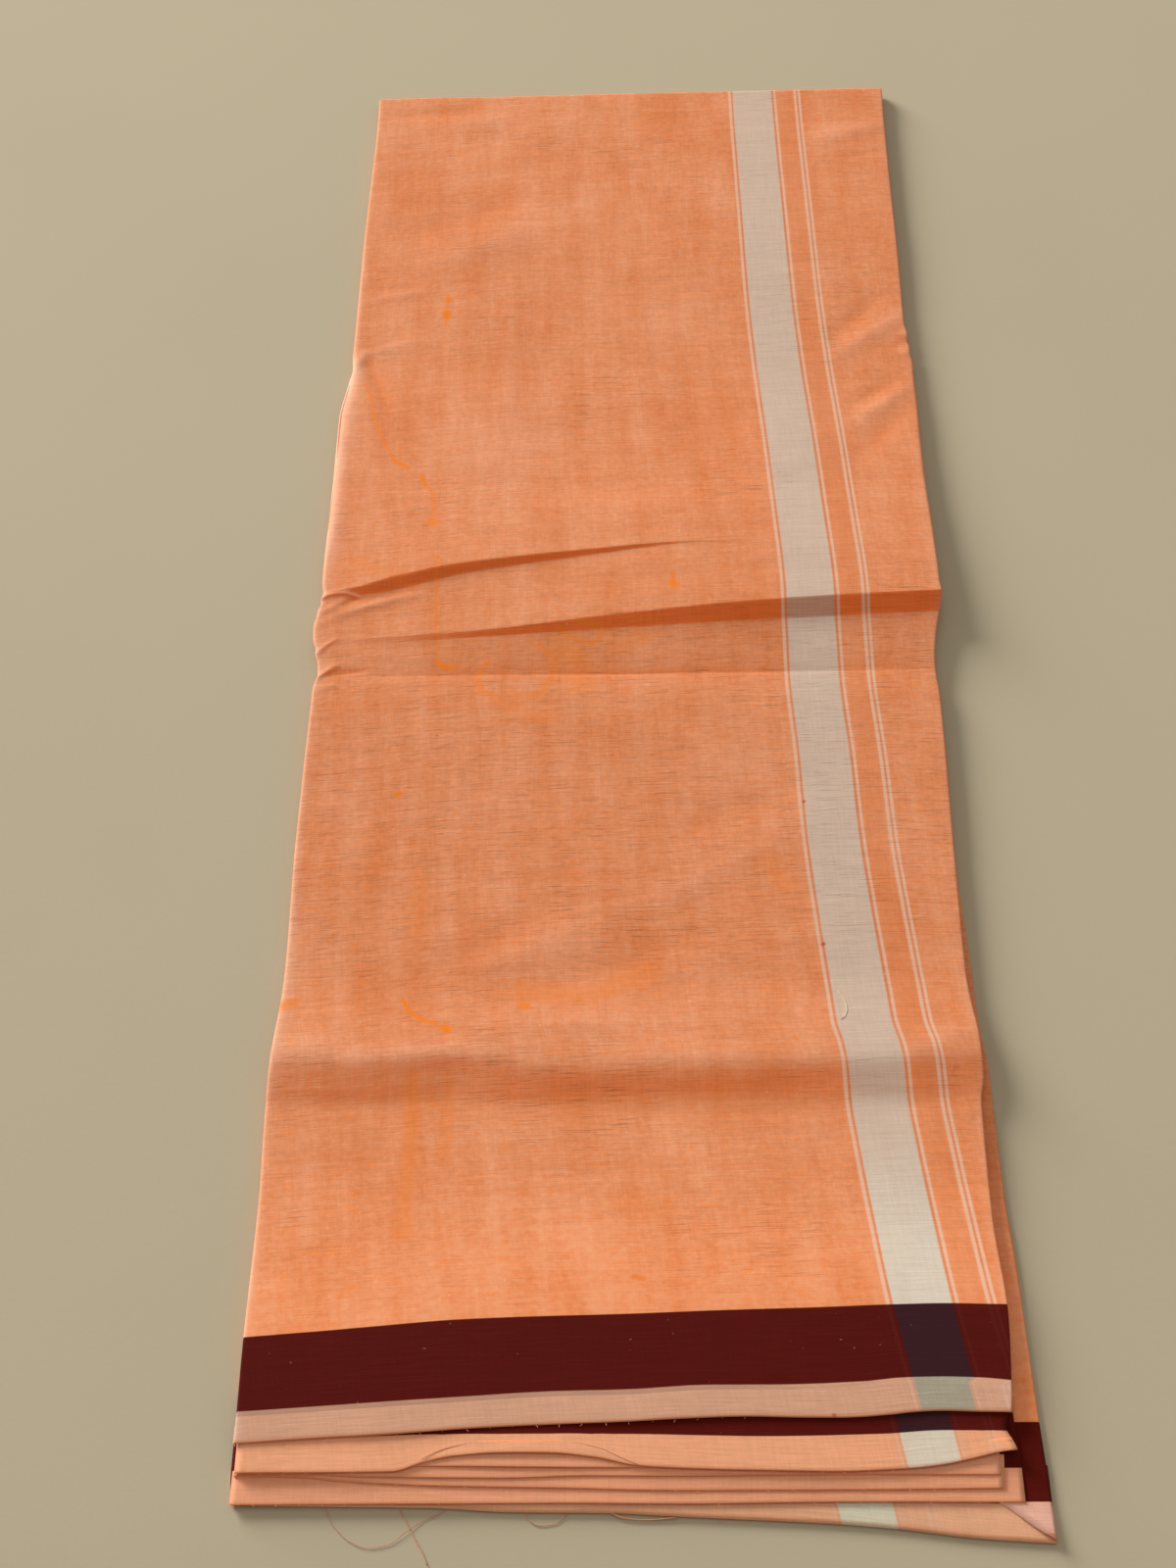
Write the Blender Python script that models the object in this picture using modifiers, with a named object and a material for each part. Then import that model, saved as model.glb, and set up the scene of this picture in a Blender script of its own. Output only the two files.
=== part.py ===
"""A single dhoti of thin peach cotton, folded flat and lying on its bottom leaf.

The cloth is 1.8 m long and 1.27 m wide. It is folded in four across its width and
then in half along its length, which makes a pack of eight layers. The top leaf shows
whole, with the tucks and creases of an earlier, smaller folding. At the near end the
hems of the leaves below it step out one after another.

Tables are in millimetres on the plan of the pack: x runs across it from left to right,
y runs from the hems at the near end to the fold at the far end, and heights are above
the table top.
"""

import math

import bmesh
import bpy
import numpy as np

MM = 0.001
WALL = 1.0
GAP = 0.3
DOUBLED = 2 * WALL + GAP
LEVEL = WALL + GAP
ROLL_RADIUS = 3.75
ROLL_STEPS = 8
SMOOTH_ANGLE = math.radians(50)

PEACH = (0.83, 0.36, 0.17, 1.0)
DEEP_PEACH = (0.70, 0.26, 0.10, 1.0)
PALE_PEACH = (0.86, 0.44, 0.26, 1.0)
CLOTH_ROUGHNESS = 0.85

# Columns of the top leaf, as shares of its width from the left edge. The second and the
# last but one stand just inside the edges, where the leaf rounds down over the fold.
COLUMN_SHARES = (0.0, 0.012, 0.08, 0.165, 0.25, 0.335, 0.42, 0.5, 0.585, 0.67, 0.75, 0.835, 0.92, 0.988, 1.0)
EDGE_DROOP = (0.8, 0.2)
DROOP_STARTS_Y = -385.0
DROOP_FULL_Y = -365.0

# Stations at which the tables below give a line that crosses the pack, as shares of its width.
STATIONS = (0.0, 0.25, 0.5, 0.75, 1.0)

# Lines that cross the top leaf, from the far end to the near end.
# name, left edge x, right edge x, y at each station, height at each station, rows to the next line
TOP_LINES = (
    ("far edge of the flat", -158.6, 158.4, (453.0, 453.4, 453.8, 454.2, 454.6), (7.5, 7.5, 7.5, 7.5, 7.5), 3),
    ("far slack", -158.0, 157.5, (414.6, 415.6, 416.6, 415.6, 414.6), (7.4, 7.6, 7.6, 7.6, 7.4), 4),
    ("far middle", -158.8, 156.9, (318.0, 318.0, 317.8, 317.0, 316.3), (7.4, 7.7, 7.8, 7.7, 7.5), 5),
    ("crease one", -158.3, 156.7, (203.6, 203.1, 202.5, 201.2, 200.0), (7.0, 6.9, 6.8, 6.9, 7.0), 3),
    ("bulge of crease one", -162.3, 157.2, (157.9, 158.5, 159.1, 159.1, 159.1), (8.6, 8.2, 7.9, 8.0, 8.2), 3),
    ("rise to the tucks", -161.6, 156.7, (105.9, 104.0, 102.2, 102.4, 102.5), (10.0, 10.1, 10.2, 10.2, 10.2), 3),
    ("shoulder of the rise", -161.1, 157.3, (50.0, 66.0, 76.0, 72.0, 58.0), (12.0, 12.9, 13.0, 12.8, 12.8), 4),
    ("crest of tuck one", -160.7, 157.2, (20.5, 40.5, 51.5, 48.5, 34.5), (12.6, 14.4, 14.2, 14.0, 14.2), 5),
    ("foot of tuck one", -160.9, 157.3, (15.5, 35.5, 47.0, 43.0, 29.0), (10.8, 10.8, 12.9, 14.1, 14.5), 4),
    ("crest of tuck two", -161.3, 156.8, (-12.0, -6.5, 2.5, 9.5, 13.5), (10.6, 12.0, 13.6, 15.0, 15.4), 6),
    ("foot of tuck two", -161.0, 155.3, (-17.0, -10.8, -3.8, 1.2, 5.3), (10.2, 9.8, 9.4, 9.0, 8.9), 4),
    ("valley", -159.3, 151.3, (-35.2, -33.7, -33.9, -33.6, -32.7), (7.8, 7.6, 7.6, 7.4, 7.3), 2),
    ("rise after the valley", -160.2, 152.0, (-48.5, -49.6, -50.8, -51.9, -53.0), (8.2, 8.1, 8.0, 7.9, 7.8), 4),
    ("slack", -160.8, 150.6, (-132.5, -133.6, -134.8, -137.9, -140.6), (7.4, 7.4, 7.4, 7.4, 7.4), 3),
    ("start of crease three", -159.2, 149.6, (-214.0, -214.8, -215.4, -215.4, -215.4), (7.3, 7.3, 7.3, 7.3, 7.3), 4),
    ("crest of crease three", -161.0, 152.1, (-260.7, -262.5, -263.9, -263.7, -258.8), (10.8, 11.0, 11.0, 11.0, 10.8), 3),
    ("face of crease three", -161.3, 152.0, (-273.8, -275.4, -277.0, -277.2, -270.8), (9.1, 9.2, 9.2, 9.2, 9.1), 2),
    ("foot of crease three", -161.2, 150.0, (-284.7, -286.8, -288.8, -289.0, -283.5), (7.5, 7.5, 7.5, 7.5, 7.5), 3),
    ("near slack", -159.8, 149.3, (-336.2, -336.8, -337.3, -337.9, -338.4), (7.2, 7.2, 7.2, 7.2, 7.2), 3),
    ("far edge of the band", -159.9, 151.1, (-392.1, -385.5, -382.8, -380.0, -379.2), (7.6, 7.6, 7.6, 7.6, 7.6), 3),
    ("near edge of the band", -159.4, 149.3, (-424.2, -418.8, -415.1, -412.8, -412.3), (7.6, 7.6, 7.6, 7.6, 7.6), 2),
    ("hem", -159.3, 148.0, (-437.2, -432.3, -428.1, -427.1, -425.4), (7.5, 7.5, 7.5, 7.5, 7.5), 0),
)

# The ends of the leaves under the top one, which start beside the hidden layers.
# name, layers of cloth below it, left x, right x where it starts, at the band's edge and at the hem, colour,
# share of the width and y of the hem, share of the width and lift of the hem
LEAF_START_Y = -386.0
LEAF_BAND_Y = -431.0
LEAF_ENDS = (
    (
        "leaf_fourth",
        0,
        -159.2,
        (148.0, 149.4, 150.3),
        PEACH,
        ((0.0, -460.3), (0.5, -460.4), (1.0, -460.4)),
        ((0.0, 0.0), (1.0, 0.0)),
    ),
    (
        "leaf_third",
        1,
        -158.4,
        (143.0, 143.7, 142.6),
        PEACH,
        ((0.0, -450.7), (0.25, -453.3), (0.5, -455.2), (0.75, -455.7), (1.0, -455.3)),
        ((0.0, 0.0), (1.0, 0.0)),
    ),
    (
        "leaf_second",
        2,
        -157.6,
        (147.5, 147.3, 148.4),
        PALE_PEACH,
        (
            (0.0, -448.8),
            (0.2, -448.6),
            (0.26, -444.4),
            (0.34, -441.0),
            (0.41, -440.8),
            (0.5, -445.2),
            (0.6, -447.6),
            (0.84, -448.0),
            (0.93, -444.3),
            (1.0, -440.6),
        ),
        ((0.0, 0.0), (0.2, 0.0), (0.36, 0.9), (0.5, 0.1), (0.9, 0.0), (1.0, 1.6)),
    ),
)
LEAF_SHARES = (0.0, 0.1, 0.2, 0.26, 0.34, 0.41, 0.5, 0.6, 0.72, 0.84, 0.93, 1.0)
LEAF_ROWS = 4

# Outline of the bottom leaf: y, left edge x, right edge x.
BOTTOM_FAR_Y = 444.0
BOTTOM_OUTLINE = (
    (BOTTOM_FAR_Y, -157.0, 156.0),
    (203.0, -157.0, 155.4),
    (120.0, -160.0, 155.4),
    (20.0, -160.0, 156.0),
    (-34.0, -158.4, 150.4),
    (-100.0, -159.4, 150.2),
    (-156.0, -159.4, 151.2),
    (-211.0, -158.4, 152.7),
    (-244.0, -158.8, 153.5),
    (-267.0, -160.0, 155.6),
    (-300.0, -160.0, 155.7),
    (-330.0, -159.4, 156.0),
    (-358.0, -159.4, 157.5),
    (-385.0, -159.8, 158.2),
    (-426.0, -160.0, 159.2),
)
BOTTOM_HEM = ((0.0, -459.6), (0.25, -461.2), (0.5, -464.0), (0.75, -468.1), (1.0, -475.9))
BOTTOM_NEAR_EDGES = (-159.2, 160.7)
# The upper ply of the bottom leaf ends under the fourth leaf, and turns in across the right corner.
TURN_SHARE = 0.942
UPPER_PLY_END = ((0.0, -454.0), (0.9, -456.0), (TURN_SHARE, -460.6), (1.0, -474.6))
PLY_STEP = 0.5
BOTTOM_SHARES = (0.0, 0.004, 0.2, 0.4, 0.6, 0.8, 0.9, TURN_SHARE, 0.97, 0.996, 1.0)

# Hidden layers: they end at the leaf ends and inside the far roll.
HIDDEN_NEAR_Y = -385.5
HIDDEN_FLOOR = DOUBLED + GAP
HIDDEN_FOLDS = 3
FOLD_INSET = 0.5
GROOVE_INSET = 1.5
FOLD_PROFILE = ((0.0, GROOVE_INSET), (0.25, FOLD_INSET), (0.75, FOLD_INSET))
MOST_DROP = 0.7
# How far sections of their rounded far end reach into the roll, as shares of its inner radius.
FAR_END_REACHES = (0.85, 0.6, 0.33)


def smooth_curve(places, values, wanted):
    """Reads a smooth curve through a few places without overshooting any of them."""
    places = np.asarray(places, float)
    values = np.asarray(values, float)
    order = np.argsort(places)
    places = places[order]
    values = values[order]
    steps = np.diff(places)
    slopes = np.diff(values) / steps
    tangents = np.zeros(len(places))
    tangents[0] = slopes[0]
    tangents[-1] = slopes[-1]
    for index in range(1, len(places) - 1):
        before = slopes[index - 1]
        after = slopes[index]
        if before * after > 0:
            tangents[index] = 2 * before * after / (before + after)
    wanted = np.clip(np.asarray(wanted, float), places[0], places[-1])
    span = np.clip(np.searchsorted(places, wanted) - 1, 0, len(steps) - 1)
    t = (wanted - places[span]) / steps[span]
    start = (1 + 2 * t) * (1 - t) ** 2 * values[span] + t * (1 - t) ** 2 * steps[span] * tangents[span]
    end = t * t * (3 - 2 * t) * values[span + 1] - t * t * (1 - t) * steps[span] * tangents[span + 1]
    return start + end


def pairs_curve(pairs, wanted):
    """Reads a smooth curve through (place, value) pairs."""
    places, values = zip(*pairs)
    return smooth_curve(places, values, wanted)


def clear_scene():
    """Empties the scene of objects."""
    for old in list(bpy.data.objects):
        bpy.data.objects.remove(old, do_unlink=True)


def cloth_material(name, colour):
    """One plain cloth colour."""
    material = bpy.data.materials.new(name)
    material.use_nodes = True
    shader = material.node_tree.nodes["Principled BSDF"]
    shader.inputs["Base Color"].default_value = colour
    shader.inputs["Roughness"].default_value = CLOTH_ROUGHNESS
    shader.inputs["Metallic"].default_value = 0.0
    material.diffuse_color = colour
    return material


def add_object(name, points, faces, colour, collection):
    """Makes a named object from points in millimetres on the plan."""
    mesh = bpy.data.meshes.new(name)
    mesh.from_pydata((np.asarray(points, float) * MM).tolist(), [], faces)
    mesh.shade_smooth()
    mesh.set_sharp_from_angle(angle=SMOOTH_ANGLE)
    mesh.materials.append(cloth_material(name, colour))
    made = bpy.data.objects.new(name, mesh)
    collection.objects.link(made)
    return made


def grid_faces(rows, columns, first=0, upward=True):
    """Faces of a grid whose rows run from the far end to the near end."""
    faces = []
    for row in range(rows - 1):
        for column in range(columns - 1):
            corner = first + row * columns + column
            face = (corner, corner + columns, corner + columns + 1, corner + 1)
            faces.append(face if upward else face[::-1])
    return faces


def add_leaf(name, grid, colour, collection):
    """A leaf one wall thick: a sheet of points with its thickness on the inner side."""
    rows, columns, _ = grid.shape
    leaf = add_object(name, grid.reshape(-1, 3), grid_faces(rows, columns), colour, collection)
    wall = leaf.modifiers.new("Cloth thickness", "SOLIDIFY")
    wall.thickness = WALL * MM
    wall.offset = -1.0
    wall.use_even_offset = True
    wall.use_quality_normals = True
    return leaf


def edge_droop(y):
    """How far the top leaf rounds down at its edge and just inside it."""
    share = np.clip((y - DROOP_STARTS_Y) / (DROOP_FULL_Y - DROOP_STARTS_Y), 0.0, 1.0)
    droop = np.zeros((len(y), len(COLUMN_SHARES)))
    for column, depth in ((0, EDGE_DROOP[0]), (1, EDGE_DROOP[1]), (-2, EDGE_DROOP[1]), (-1, EDGE_DROOP[0])):
        droop[:, column] = depth * share
    return droop


def top_face():
    """The flat part of the top leaf's outer face, row by row from the far end to the hem."""
    shares = np.array(COLUMN_SHARES)
    lines_y = np.array([smooth_curve(STATIONS, line[3], shares) for line in TOP_LINES])
    lines_z = np.array([smooth_curve(STATIONS, line[4], shares) for line in TOP_LINES])
    edges = np.array([(line[1], line[2]) for line in TOP_LINES])
    rows_y = []
    for index, line in enumerate(TOP_LINES[:-1]):
        for step in range(line[5]):
            part = step / line[5]
            rows_y.append(lines_y[index] * (1 - part) + lines_y[index + 1] * part)
    rows_y = np.array([*rows_y, lines_y[-1]])
    grid = np.zeros((len(rows_y), len(shares), 3))
    for column, share in enumerate(shares):
        y = rows_y[:, column]
        left = smooth_curve(lines_y[:, column], edges[:, 0], y)
        right = smooth_curve(lines_y[:, column], edges[:, 1], y)
        grid[:, column, 0] = left * (1 - share) + right * share
        grid[:, column, 1] = y
        grid[:, column, 2] = smooth_curve(lines_y[:, column], lines_z[:, column], y)
    grid[:, :, 2] -= edge_droop(rows_y.mean(axis=1))
    return grid


def far_roll(first_row):
    """Rows that carry the top leaf over the far fold and a little way under the pack."""
    tail = first_row.copy()
    tail[:, 1] = BOTTOM_FAR_Y + GAP
    tail[:, 2] = 0.0
    rows = [tail]
    for step in range(ROLL_STEPS):
        angle = math.radians(-90 + 180 * step / ROLL_STEPS)
        row = first_row.copy()
        row[:, 1] += ROLL_RADIUS * math.cos(angle)
        row[:, 2] = (first_row[:, 2] / 2) * (1 + math.sin(angle))
        rows.append(row)
    return np.array(rows)


def upward_normals(grid):
    """Unit normals of a grid that lies face up."""
    along_rows = np.gradient(grid, axis=1)
    along_columns = -np.gradient(grid, axis=0)
    normals = np.cross(along_rows, along_columns)
    return normals / np.linalg.norm(normals, axis=2, keepdims=True)


def side_profile(edge_x, inward, top_z):
    """Folded edges one above another down a side of the hidden layers, from the top down."""
    fold_height = (top_z - HIDDEN_FLOOR) / HIDDEN_FOLDS
    points = []
    for fold in range(HIDDEN_FOLDS):
        for share, inset in FOLD_PROFILE:
            points.append((edge_x + inward * inset, top_z - (fold + share) * fold_height))
    points.append((edge_x + inward * GROOVE_INSET, HIDDEN_FLOOR))
    return points


def hidden_ring(row):
    """One closed section of the hidden layers, under a row of points of their upper face."""
    left_x, left_y, left_z = row[0]
    right_x, right_y, right_z = row[-1]
    ring = [(x, left_y, z) for x, z in reversed(side_profile(left_x, 1, left_z))]
    ring += [tuple(point) for point in row[1:-1]]
    ring += [(x, right_y, z) for x, z in side_profile(right_x, -1, right_z)]
    return ring


def hidden_upper_face(face):
    """The upper face of the hidden layers: the inner side of the top leaf, less the gap."""
    normals = upward_normals(face)
    inner = face - WALL * normals
    inner[:, :, 2] -= np.minimum(GAP / normals[:, :, 2], MOST_DROP)
    return inner


def straight_end(upper):
    """The row where a straight cut ends the hidden layers, beside the ends of the leaves."""
    row = np.zeros((upper.shape[1], 3))
    row[:, 1] = HIDDEN_NEAR_Y
    for column in range(upper.shape[1]):
        along = upper[::-1, column, 1]
        row[column, 0] = np.interp(HIDDEN_NEAR_Y, along, upper[::-1, column, 0])
        row[column, 2] = np.interp(HIDDEN_NEAR_Y, along, upper[::-1, column, 2])
    return row


def hidden_rings(face):
    """Sections of the hidden layers from the far roll to the ends of the leaves."""
    upper = hidden_upper_face(face)
    rows = [row for row in upper if row[:, 1].min() > HIDDEN_NEAR_Y + WALL]
    return [hidden_ring(row) for row in [*rows, straight_end(upper)]]


def rounded_far_end(first_ring):
    """Sections that bring the hidden layers to a rounded end inside the far roll."""
    inner_radius = ROLL_RADIUS - LEVEL
    rings = []
    for share in FAR_END_REACHES:
        reach = inner_radius * share
        lowered = inner_radius - math.sqrt(inner_radius**2 - reach**2)
        height = ROLL_RADIUS + inner_radius - HIDDEN_FLOOR
        squeeze = (height - lowered) / height
        rings.append([(x, y + reach, HIDDEN_FLOOR + (z - HIDDEN_FLOOR) * squeeze) for x, y, z in first_ring])
    return rings


def add_hidden_folds(face, collection):
    """The hidden layers as one rounded solid under the top leaf."""
    rings = hidden_rings(face)
    rings = rounded_far_end(rings[0]) + rings
    size = len(rings[0])
    points = [point for ring in rings for point in ring]
    faces = []
    for ring in range(len(rings) - 1):
        for place in range(size):
            after = (place + 1) % size
            start = ring * size
            faces.append((start + place, start + size + place, start + size + after, start + after))
    faces.append(tuple(range(size)))
    faces.append(tuple(range(len(points) - size, len(points)))[::-1])
    return add_object("hidden_folds", points, faces, DEEP_PEACH, collection)


def leaf_end_grid(layers_below, left_x, right_edge, hem, lift):
    """The outer face of the end of a leaf, from where it leaves the hidden layers to its hem."""
    shares = np.array(LEAF_SHARES)
    hem_y = pairs_curve(hem, shares)
    hem_lift = pairs_curve(lift, shares)
    height = DOUBLED + GAP + layers_below * LEVEL + WALL
    grid = np.zeros((LEAF_ROWS + 2, len(shares), 3))
    for row in range(LEAF_ROWS + 2):
        part = max(row - 1, 0) / LEAF_ROWS
        y = np.full(len(shares), LEAF_START_Y) if row == 0 else LEAF_BAND_Y + (hem_y - LEAF_BAND_Y) * part
        right_x = np.interp(0.0 if row == 0 else 1 + part, (0.0, 1.0, 2.0), right_edge)
        grid[row, :, 0] = left_x + (right_x - left_x) * shares
        grid[row, :, 1] = y
        grid[row, :, 2] = height + hem_lift * part**2
    return grid


def bottom_rows():
    """The upper face of the bottom leaf, with its upper ply stepped back from the hem."""
    shares = np.array(BOTTOM_SHARES)
    rows = []
    for y, left, right in BOTTOM_OUTLINE:
        x = left + (right - left) * shares
        rows.append(np.stack([x, np.full(len(x), y), np.full(len(x), DOUBLED)], axis=1))
    left, right = BOTTOM_NEAR_EDGES
    x = left + (right - left) * shares
    ply_end = pairs_curve(UPPER_PLY_END, shares)
    for y, height in ((ply_end, DOUBLED), (ply_end - PLY_STEP, WALL), (pairs_curve(BOTTOM_HEM, shares), WALL)):
        rows.append(np.stack([x, y, np.full(len(x), height)], axis=1))
    rows = np.array(rows)
    for column in (0, -1):
        rows[:, column, 2] /= 2
    return rows


def add_bottom_leaf(collection):
    """The bottom leaf: flat underneath, its long edges rounded as folds."""
    upper = bottom_rows()
    rows, columns, _ = upper.shape
    lower = upper[:, 1:-1].copy()
    lower[:, :, 2] = 0.0
    inner_columns = columns - 2
    first_lower = rows * columns
    points = np.concatenate([upper.reshape(-1, 3), lower.reshape(-1, 3)])
    faces = grid_faces(rows, columns)
    faces += grid_faces(rows, inner_columns, first_lower, upward=False)
    for row in range(rows - 1):
        left = row * columns
        left_low = first_lower + row * inner_columns
        right = left + columns - 1
        right_low = left_low + inner_columns - 1
        faces.append((left, left_low, left_low + inner_columns, left + columns))
        faces.append((right, right + columns, right_low + inner_columns, right_low))
    for row, turned in ((0, False), (rows - 1, True)):
        start = row * columns
        low = first_lower + row * inner_columns
        ends = [(start, start + 1, low)]
        for column in range(inner_columns - 1):
            ends.append((start + column + 1, start + column + 2, low + column + 1, low + column))
        ends.append((start + columns - 2, start + columns - 1, low + inner_columns - 1))
        faces += [end[::-1] for end in ends] if turned else ends
    return add_object("leaf_bottom", points, faces, PEACH, collection)


def centre_on_origin(objects):
    """Moves the whole pack so that its box stands centred on the origin."""
    low = np.full(3, np.inf)
    high = np.full(3, -np.inf)
    for made in objects:
        points = np.array([vertex.co for vertex in made.data.vertices])
        low = np.minimum(low, points.min(axis=0))
        high = np.maximum(high, points.max(axis=0))
    shift = -(low + high) / 2
    for made in objects:
        for vertex in made.data.vertices:
            vertex.co.x += shift[0]
            vertex.co.y += shift[1]


def face_outward(made):
    """Turns every face of a closed mesh to point out."""
    if made.modifiers:
        return
    mesh = bmesh.new()
    mesh.from_mesh(made.data)
    bmesh.ops.recalc_face_normals(mesh, faces=mesh.faces)
    mesh.to_mesh(made.data)
    mesh.free()


def main():
    clear_scene()
    collection = bpy.data.collections.new("Dhoti cloth")
    bpy.context.scene.collection.children.link(collection)
    face = top_face()
    top = np.concatenate([far_roll(face[0]), face])
    made = [add_leaf("leaf_top", top, PEACH, collection)]
    for name, layers_below, left_x, right_edge, colour, hem, lift in LEAF_ENDS:
        grid = leaf_end_grid(layers_below, left_x, right_edge, hem, lift)
        made.append(add_leaf(name, grid, colour, collection))
    made.append(add_bottom_leaf(collection))
    made.append(add_hidden_folds(face, collection))
    for piece in made:
        face_outward(piece)
    centre_on_origin(made)


main()
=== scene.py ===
"""A single peach dhoti folded flat on a table: its cloth, finish, loose threads and light.

Tables are in millimetres on the plan of the pack: x runs across it from left to right,
y runs from the hems at the near end to the fold at the far end, and heights are above
the table top.
"""

import math

import bpy
import numpy as np
from bpy.props import FloatProperty, FloatVectorProperty, IntProperty, PointerProperty
from mathutils import Matrix, Vector, noise


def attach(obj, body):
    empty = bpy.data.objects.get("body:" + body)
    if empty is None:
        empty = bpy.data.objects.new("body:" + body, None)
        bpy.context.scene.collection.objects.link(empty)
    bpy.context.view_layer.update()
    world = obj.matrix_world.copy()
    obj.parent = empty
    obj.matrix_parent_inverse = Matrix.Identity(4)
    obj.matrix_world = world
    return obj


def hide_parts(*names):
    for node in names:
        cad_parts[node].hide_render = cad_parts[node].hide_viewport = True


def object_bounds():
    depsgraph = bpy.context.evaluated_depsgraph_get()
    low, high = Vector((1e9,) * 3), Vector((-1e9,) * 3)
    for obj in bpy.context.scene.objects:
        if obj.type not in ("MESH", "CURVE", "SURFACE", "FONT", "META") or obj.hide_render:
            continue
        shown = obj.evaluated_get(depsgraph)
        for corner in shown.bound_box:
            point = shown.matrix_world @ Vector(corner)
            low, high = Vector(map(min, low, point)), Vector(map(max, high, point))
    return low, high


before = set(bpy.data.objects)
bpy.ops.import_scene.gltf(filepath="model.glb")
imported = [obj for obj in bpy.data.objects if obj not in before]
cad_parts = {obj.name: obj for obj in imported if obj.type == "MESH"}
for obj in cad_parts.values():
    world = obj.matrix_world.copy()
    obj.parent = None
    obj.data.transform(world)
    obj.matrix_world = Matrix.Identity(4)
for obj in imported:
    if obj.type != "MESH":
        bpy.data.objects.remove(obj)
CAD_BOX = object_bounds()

bl_info = {
    "name": "Folded dhoti",
    "version": (1, 0, 0),
    "blender": (4, 5, 0),
    "location": "3D View > Sidebar > Dhoti",
    "description": "Builds a dhoti folded flat, layer by layer, with its table and light",
    "category": "Add Mesh",
}

MM = 0.001
PLAN_LEFT = -162.3
PLAN_NEAR = -475.9
PLAN_SHIFT = np.array([CAD_BOX[0].x / MM - PLAN_LEFT, CAD_BOX[0].y / MM - PLAN_NEAR, 0.0])

# Cloth marks, counted along the warp from the hem: the pale hem strip, then the maroon band.
STRIP_WIDTH = 13.3
BAND_END = 46.0
# How much closer the stripes lie in the turned hem strip than above it.
STRIP_GATHER = 1.13

# Places across the pack, as shares of its width, at which a line gives its y and its height.
STATIONS = (0.0, 0.25, 0.5, 0.75, 1.0)

HEM_LINE = (
    (-159.3, -437.3), (-127.6, -435.2), (-96.6, -433.5), (-65.7, -431.2), (-34.7, -429.7), (-3.6, -428.6),
    (19.6, -427.4), (42.9, -426.7), (66.0, -427.2), (81.5, -427.3), (100.8, -426.1), (110.6, -425.0),
    (120.3, -424.6), (135.6, -425.1), (149.1, -425.5),
)
BAND_NEAR_LINE = (
    (-159.4, -424.2), (-136.4, -422.7), (-97.4, -420.0), (-66.2, -418.0), (-34.9, -416.1), (-3.6, -415.4),
    (27.7, -413.7), (58.9, -413.6), (90.1, -412.5), (105.8, -410.9), (121.4, -410.6), (137.0, -411.1),
    (149.3, -412.4),
)
BAND_FAR_LINE = (
    (-160.3, -392.2), (-131.3, -389.8), (-99.4, -386.9), (-75.5, -384.9), (-35.5, -383.4), (-3.6, -382.7),
    (36.4, -381.2), (76.3, -380.1), (105.0, -379.0), (124.2, -378.6), (151.1, -379.2),
)
CREST_THREE_LINE = (
    (-161.0, -260.7), (-112.0, -262.3), (-82.0, -257.5), (-60.0, -260.5), (-37.5, -264.0), (30.0, -264.2),
    (90.0, -262.8), (120.0, -261.8), (152.0, -258.8),
)
FACE_THREE_LINE = (
    (-161.3, -273.8), (-112.0, -275.2), (-82.0, -270.0), (-60.0, -273.5), (-37.5, -277.0), (30.0, -277.6),
    (90.0, -275.6), (120.0, -274.4), (152.0, -270.8),
)

TUCK_ONE_CREST = (
    (-160.7, 17.6), (-153.2, 21.6), (-145.6, 22.6), (-134.7, 25.9), (-123.7, 29.9), (-112.5, 32.6),
    (-101.3, 35.8), (-84.0, 38.9), (-23.0, 47.4), (38.3, 52.3), (100.0, 48.5), (157.2, 38.0),
)
TUCK_ONE_FOOT = (
    (-160.9, 16.6), (-153.3, 20.6), (-141.3, 19.3), (-134.6, 20.5), (-123.5, 23.3), (-112.4, 26.1),
    (-101.3, 29.7), (-84.0, 34.0), (-23.0, 44.2), (38.4, 51.4), (100.0, 46.5), (157.3, 35.0),
)
TUCK_ONE_CREST_HEIGHTS = (
    (-160.7, 11.9), (-153.0, 12.4), (-141.0, 13.4), (-121.0, 14.1), (-79.0, 14.5), (47.0, 14.1),
    (157.2, 14.2),
)
TUCK_ONE_FOOT_HEIGHTS = (
    (-160.9, 11.8), (-153.3, 12.0), (-142.0, 11.4), (-121.0, 11.1), (-79.0, 11.9), (-15.6, 12.9),
    (38.0, 14.0), (157.3, 14.4),
)

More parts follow.
